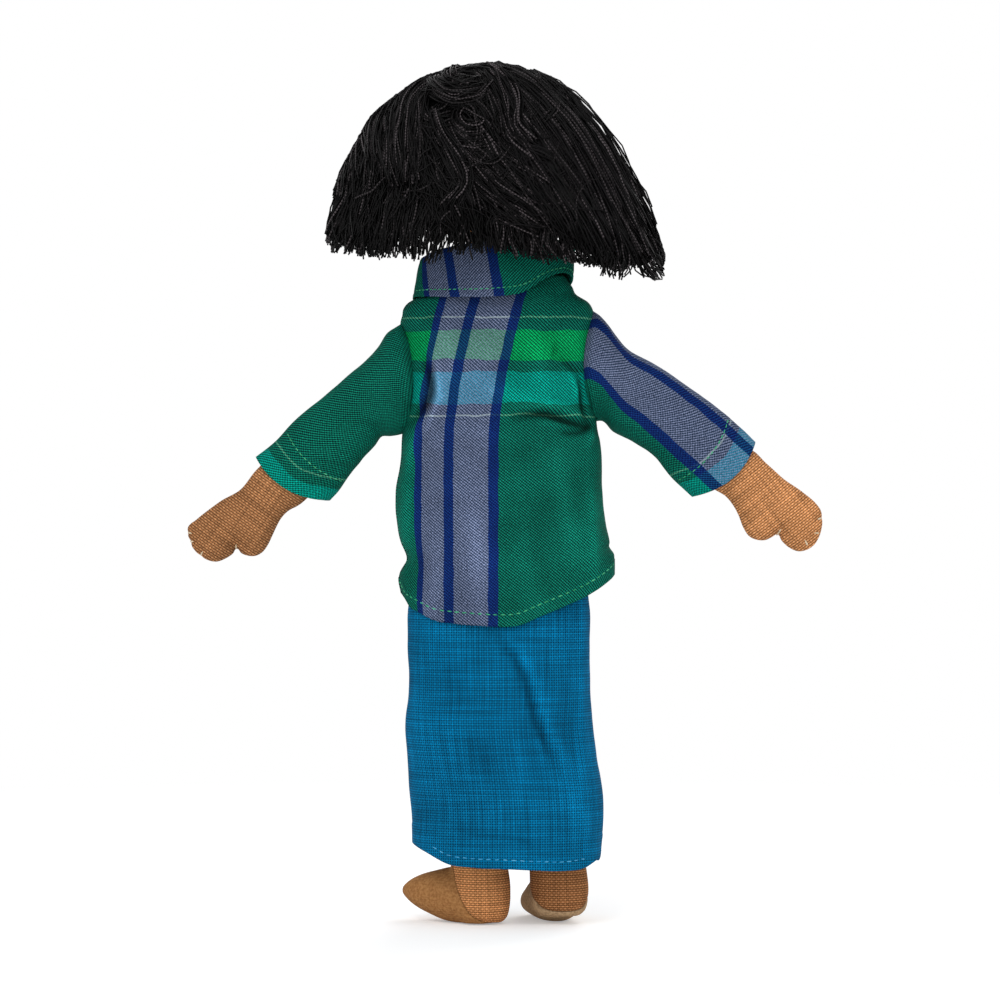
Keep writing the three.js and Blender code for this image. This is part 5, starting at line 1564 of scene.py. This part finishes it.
# Many threads as thin three-sided tubes in one mesh
def threadBundle(name, lines, tones):
    count, segments, sides = *lines.shape[:2], 3
    ahead = np.gradient(lines, axis=1)
    ahead /= np.linalg.norm(ahead, axis=-1, keepdims=True) + 1e-9
    beside = np.cross(ahead, (0.3, 0.2, 0.93))
    beside /= np.linalg.norm(beside, axis=-1, keepdims=True) + 1e-9
    turn = np.linspace(0, 2 * math.pi, sides, endpoint=False)[:, None]
    ring = beside[:, :, None] * np.cos(turn) + np.cross(beside, ahead)[:, :, None] * np.sin(turn)
    points = lines[:, :, None] + hair["strand"] * ring
    starts = np.arange(count)[:, None] * segments * sides
    faces = (starts[..., None] + gridFaces(segments, sides, True)).reshape(-1, 4).tolist()
    faces += (starts + [2, 1, 0]).tolist() + (starts + (segments - 1) * sides + [0, 1, 2]).tolist()
    piece = makeMesh(name, points.reshape(-1, 3), faces)
    # each thread's tone, and the distance along it
    tone = np.repeat(np.asarray(tones), segments * sides)
    along = np.repeat(runLength(lines, 1).ravel(), sides) + tone * 20
    setMap(piece, "strandMap", np.column_stack([tone, along])[cornersOf(piece)])
    shadeSmooth(piece)
    finish(piece, "head", "hair_thread", hairThread)
    return piece


# The bob's surface, on which the locks lie
def bobSurface():
    places = bobPlace(*np.meshgrid(np.linspace(-math.pi, math.pi, 181)[:-1], np.linspace(0.02, 1.12, 60)))
    points = [Vector(p) for p in places.reshape(-1, 3).tolist()]
    return BVHTree.FromPolygons(points, gridFaces(*places.shape[:2], True).tolist())


# The place on the bob behind a point of the XZ plane. Beside the bob it goes round to the front.
def onBob(surface, x, z):
    spot, normal, _, _ = surface.ray_cast(Vector((x, 200, z)), Vector((0, -1, 0)))
    if spot is None:
        beside = Vector((x, 8, z))
        edge = surface.find_nearest(beside)[0]
        spot, normal, _, _ = surface.find_nearest(edge - Vector((0, (beside - edge).length, 0)))
    if normal.dot(spot - Vector((*hair["middle"], 300))) < 0:
        normal = -normal
    return spot, normal


# Threads of one lock, side by side along its run on the back of the bob
def lockLines(surface, run, halfWidth, lift, count, draws):
    last = np.subtract(run[-1], run[-2])
    line = smoothPath([*run, np.add(run[-1], last / np.linalg.norm(last) * hair["lockHang"])], 40)
    ahead = np.gradient(line, axis=0)
    ahead /= np.linalg.norm(ahead, axis=1, keepdims=True)
    beside = np.column_stack([-ahead[:, 1], ahead[:, 0]])
    share = np.linspace(0, 1, 40)
    spread = halfWidth * (0.35 + 0.65 * np.clip(share / 0.5, 0, 1))
    lines = []
    for _ in range(round(count * hair["lockShare"])):
        offset = draws.uniform(-1, 1)
        wander = draws.normal(0, 0.34) * halfWidth
        drift = draws.normal(0, 0.16) * halfWidth
        end = draws.uniform(0.84, 1.02) if draws.random() < 0.85 else draws.uniform(0.6, 0.9)
        t = np.linspace(draws.uniform(0, 0.06), end, hair["segments"])
        height = draws.uniform(0, 1) * 1.8 * math.sqrt(1 - offset * offset * 0.9)
        sideways = offset * np.interp(t, share, spread)
        sideways += wander * np.sin(t * math.pi) + drift * np.sin(t * 2 * math.pi + draws.uniform(0, 6))
        sideways += draws.uniform(0, 0.9) * np.sin(t * draws.uniform(7, 15) + draws.uniform(0, 6))
        heights = height + 0.7 * np.sin(t * draws.uniform(5, 13) + draws.uniform(0, 6))
        places, across = (np.column_stack([np.interp(t, share, part[:, k]) for k in (0, 1)]) for part in (line, beside))
        spots = []
        for value, above, (x, z) in zip(t, heights, places + across * sideways[:, None]):
            spot, normal = onBob(surface, x, z)
            spots.append(spot + normal * (lift * math.sin(min(1, value * 4 + 0.3) * math.pi / 2) + above))
        lines.append(spots)
    return np.array(lines)


# Loose threads that lie across the locks in short bows, well inside the bob's outline
def strayLines(surface, draws):
    lines = []
    while len(lines) < hair["strays"]:
        x, z = draws.uniform(-44, 50), draws.uniform(292, 350)
        turn = draws.normal(-math.pi / 2, 0.6)
        long, bend = draws.uniform(10, 26), draws.normal(0, 0.8)
        s = np.linspace(0, 1, hair["segments"])
        turns = turn + bend * s + 0.2 * np.sin(s * draws.uniform(5, 11))
        xs = x + np.cumsum(np.cos(turns)) * long / len(s)
        zs = z + np.cumsum(np.sin(turns)) * long / len(s)
        arch = draws.uniform(2.4, 3.8) + 0.8 * np.sin(s * math.pi)
        found = [surface.ray_cast(Vector((across, 200, up)), Vector((0, -1, 0)))[:2] for across, up in zip(xs, zs)]
        if zs.min() >= 284 and all(spot is not None and spot.y >= 14 for spot, _ in found):
            lines.append([spot + normal * math.copysign(above, normal.y) for (spot, normal), above in zip(found, arch)])
    return np.array(lines)


# Lines of one layer of threads, gathered in locks
def hairLines(count, locks, deepest, shortest, longest, seed):
    draws = np.random.default_rng(seed)
    lockTurn = draws.uniform(-math.pi, math.pi, locks)
    lockWay = draws.uniform(shortest, longest, locks)
    lockBend = draws.normal(0, 0.16, locks)
    lockDepth = draws.uniform(0, 1, locks) * deepest
    lockSpread = draws.normal(0, 1.6, locks)
    lock = draws.integers(0, locks, count)
    endTurn = lockTurn[lock] + draws.normal(0, 0.085, count)
    way = lockWay[lock] * (1 + draws.normal(0, 0.022, count))
    bend = lockBend[lock] + draws.normal(0, 0.05, count)
    under = lockDepth[lock] + np.abs(draws.normal(0, 0.7, count))
    spread = hair["flare"] * draws.uniform(0, 1, count) + lockSpread[lock]
    rootA = hair["whorl"][0] + draws.normal(0, 0.07, count)
    rootB = hair["whorl"][1] + draws.normal(0, 0.09, count)
    overA = (np.cos(endTurn) * way - rootA)[:, None]
    overB = (np.sin(endTurn) * way - rootB)[:, None]
    # a lock bows to one side on its way down
    s = np.linspace(0, 1, hair["segments"])
    bow = bend[:, None] * np.sin(s * math.pi)
    wave = draws.uniform(0, 2 * math.pi, count)[:, None]
    ripple = 0.006 * np.sin(s * draws.uniform(5, 12, count)[:, None] + wave)
    a = rootA[:, None] + overA * s - bow * overB + ripple
    b = rootB[:, None] + overB * s + bow * overA - ripple
    lines = bobPlace(np.arctan2(b, a), np.hypot(a, b), under[:, None] * (0.35 + 0.65 * s), spread[:, None])
    # the face is left free: threads in front are cut at the fringe
    return lines, (endTurn > -math.pi) & (np.cos(endTurn + math.pi / 2) > 0.62)


def makeHair():
    draws = np.random.default_rng(7)
    total = 0
    for number, (name, count, *layer) in enumerate(hair["layers"]):
        lines, frontal = hairLines(count, *layer, 70 + number)
        # each thread's tone is random, and darker in the deeper layers: painted shade under the outer threads
        tones = draws.uniform(0, 1, count) ** 1.5 * (0.5 + 0.2 * number)
        bundle = threadBundle(f"{name}_threads", lines[~frontal], tones[~frontal])
        fringe = threadBundle(f"{name}_fringe", lines[frontal], tones[frontal])
        total += count
        if number == 0:
            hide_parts("hair_back")
            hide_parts("hair_fringe")
    surface = bobSurface()
    laid = [lockLines(surface, *lock, draws) for lock in hair["locks"]]
    middle = len(laid) // 2
    for name, part in (("hairLocks_right", laid[:middle]), ("hairLocks_left", laid[middle:])):
        tones = [np.clip(draws.uniform(0.2, 0.6) + draws.normal(0, 0.3, len(lock)), 0, 1) for lock in part]
        threadBundle(name, np.concatenate(part), np.concatenate(tones))
        total += sum(map(len, part))
    strays = strayLines(surface, draws)
    threadBundle("hairStrays", strays, draws.uniform(0.1, 0.85, len(strays)))
    print("hair made:", total + len(strays), "threads")


makeHair()


# ---- floor, light and world


# 1 where the camera, glossy or clear pieces see the background
def backgroundSeen(add):
    rays = add("LightPath").outputs
    seen = add("Math MAXIMUM", [rays["Is Camera Ray"], rays["Is Glossy Ray"]])
    return add("Math MAXIMUM", [seen, rays["Is Transmission Ray"]])


# Pale paint that is white far away, where the lamps don't reach
def floorPaint(add):
    seen = backgroundSeen(add)
    place = add("TexCoord").outputs["Object"]
    away = add("VectorMath LENGTH", [place]).outputs["Value"]
    cloud = add("TexNoise", {"Vector": place, "Scale": 6.0, "Detail": 2.0})
    tint = add("ValToRGB", [cloud], [(0.3, 0.89), (0.7, 0.91)])
    glow = add("Emission", {"Strength": add("Math MULTIPLY", [seen, 0.3])})
    near = add("AddShader", [add("BsdfDiffuse", {"Color": tint}), glow])
    white = add("Emission", {"Strength": add("Math MULTIPLY_ADD", [seen, 0.45, 0.55])})
    return add("MixShader", [add("MapRange", [away, 0.25, 0.8, 0, 1]), near, white])


def makeStage():
    bpy.ops.mesh.primitive_plane_add(size=6, location=(0, 0, 0))
    floor = bpy.context.object
    floor.name = "paleFloor"
    floor.data.materials.append(newMaterial("paleFloorPaint", floorPaint))
    world = bpy.data.worlds.new("softStudio")
    bpy.context.scene.world = world
    world.use_nodes = True
    world.node_tree.nodes.clear()
    add = partial(addNode, world.node_tree)
    strength = add("Math MULTIPLY_ADD", [backgroundSeen(add), 0.45, 0.55])
    add("OutputWorld", [add("Background", {"Color": (1, 1, 1, 1), "Strength": strength})])


# Large soft lamps: place, size and power in watts
lamps = {
    "behindHigh": ((0.55, 1.3, 1.25), 0.9, 9.6),
    "behindSide": ((-1.2, 0.9, 0.7), 0.8, 4.4),
    "behindLow": ((0.3, 1.5, 0.1), 0.5, 7.6),
    "front": ((-0.5, -1.4, 1.1), 1.0, 12),
}


def makeLamps():
    for name, (place, size, power) in lamps.items():
        bpy.ops.object.light_add(type="AREA", location=place)
        lamp = bpy.context.object
        lamp.name = name
        lamp.data.size = size
        lamp.data.energy = power
        lamp.rotation_euler = (Vector((0, 0, 0.18)) - Vector(place)).to_track_quat("-Z", "Y").to_euler()


makeStage()
makeLamps()
bpy.context.scene.view_settings.view_transform = "Standard"
print("stage and lamps made")
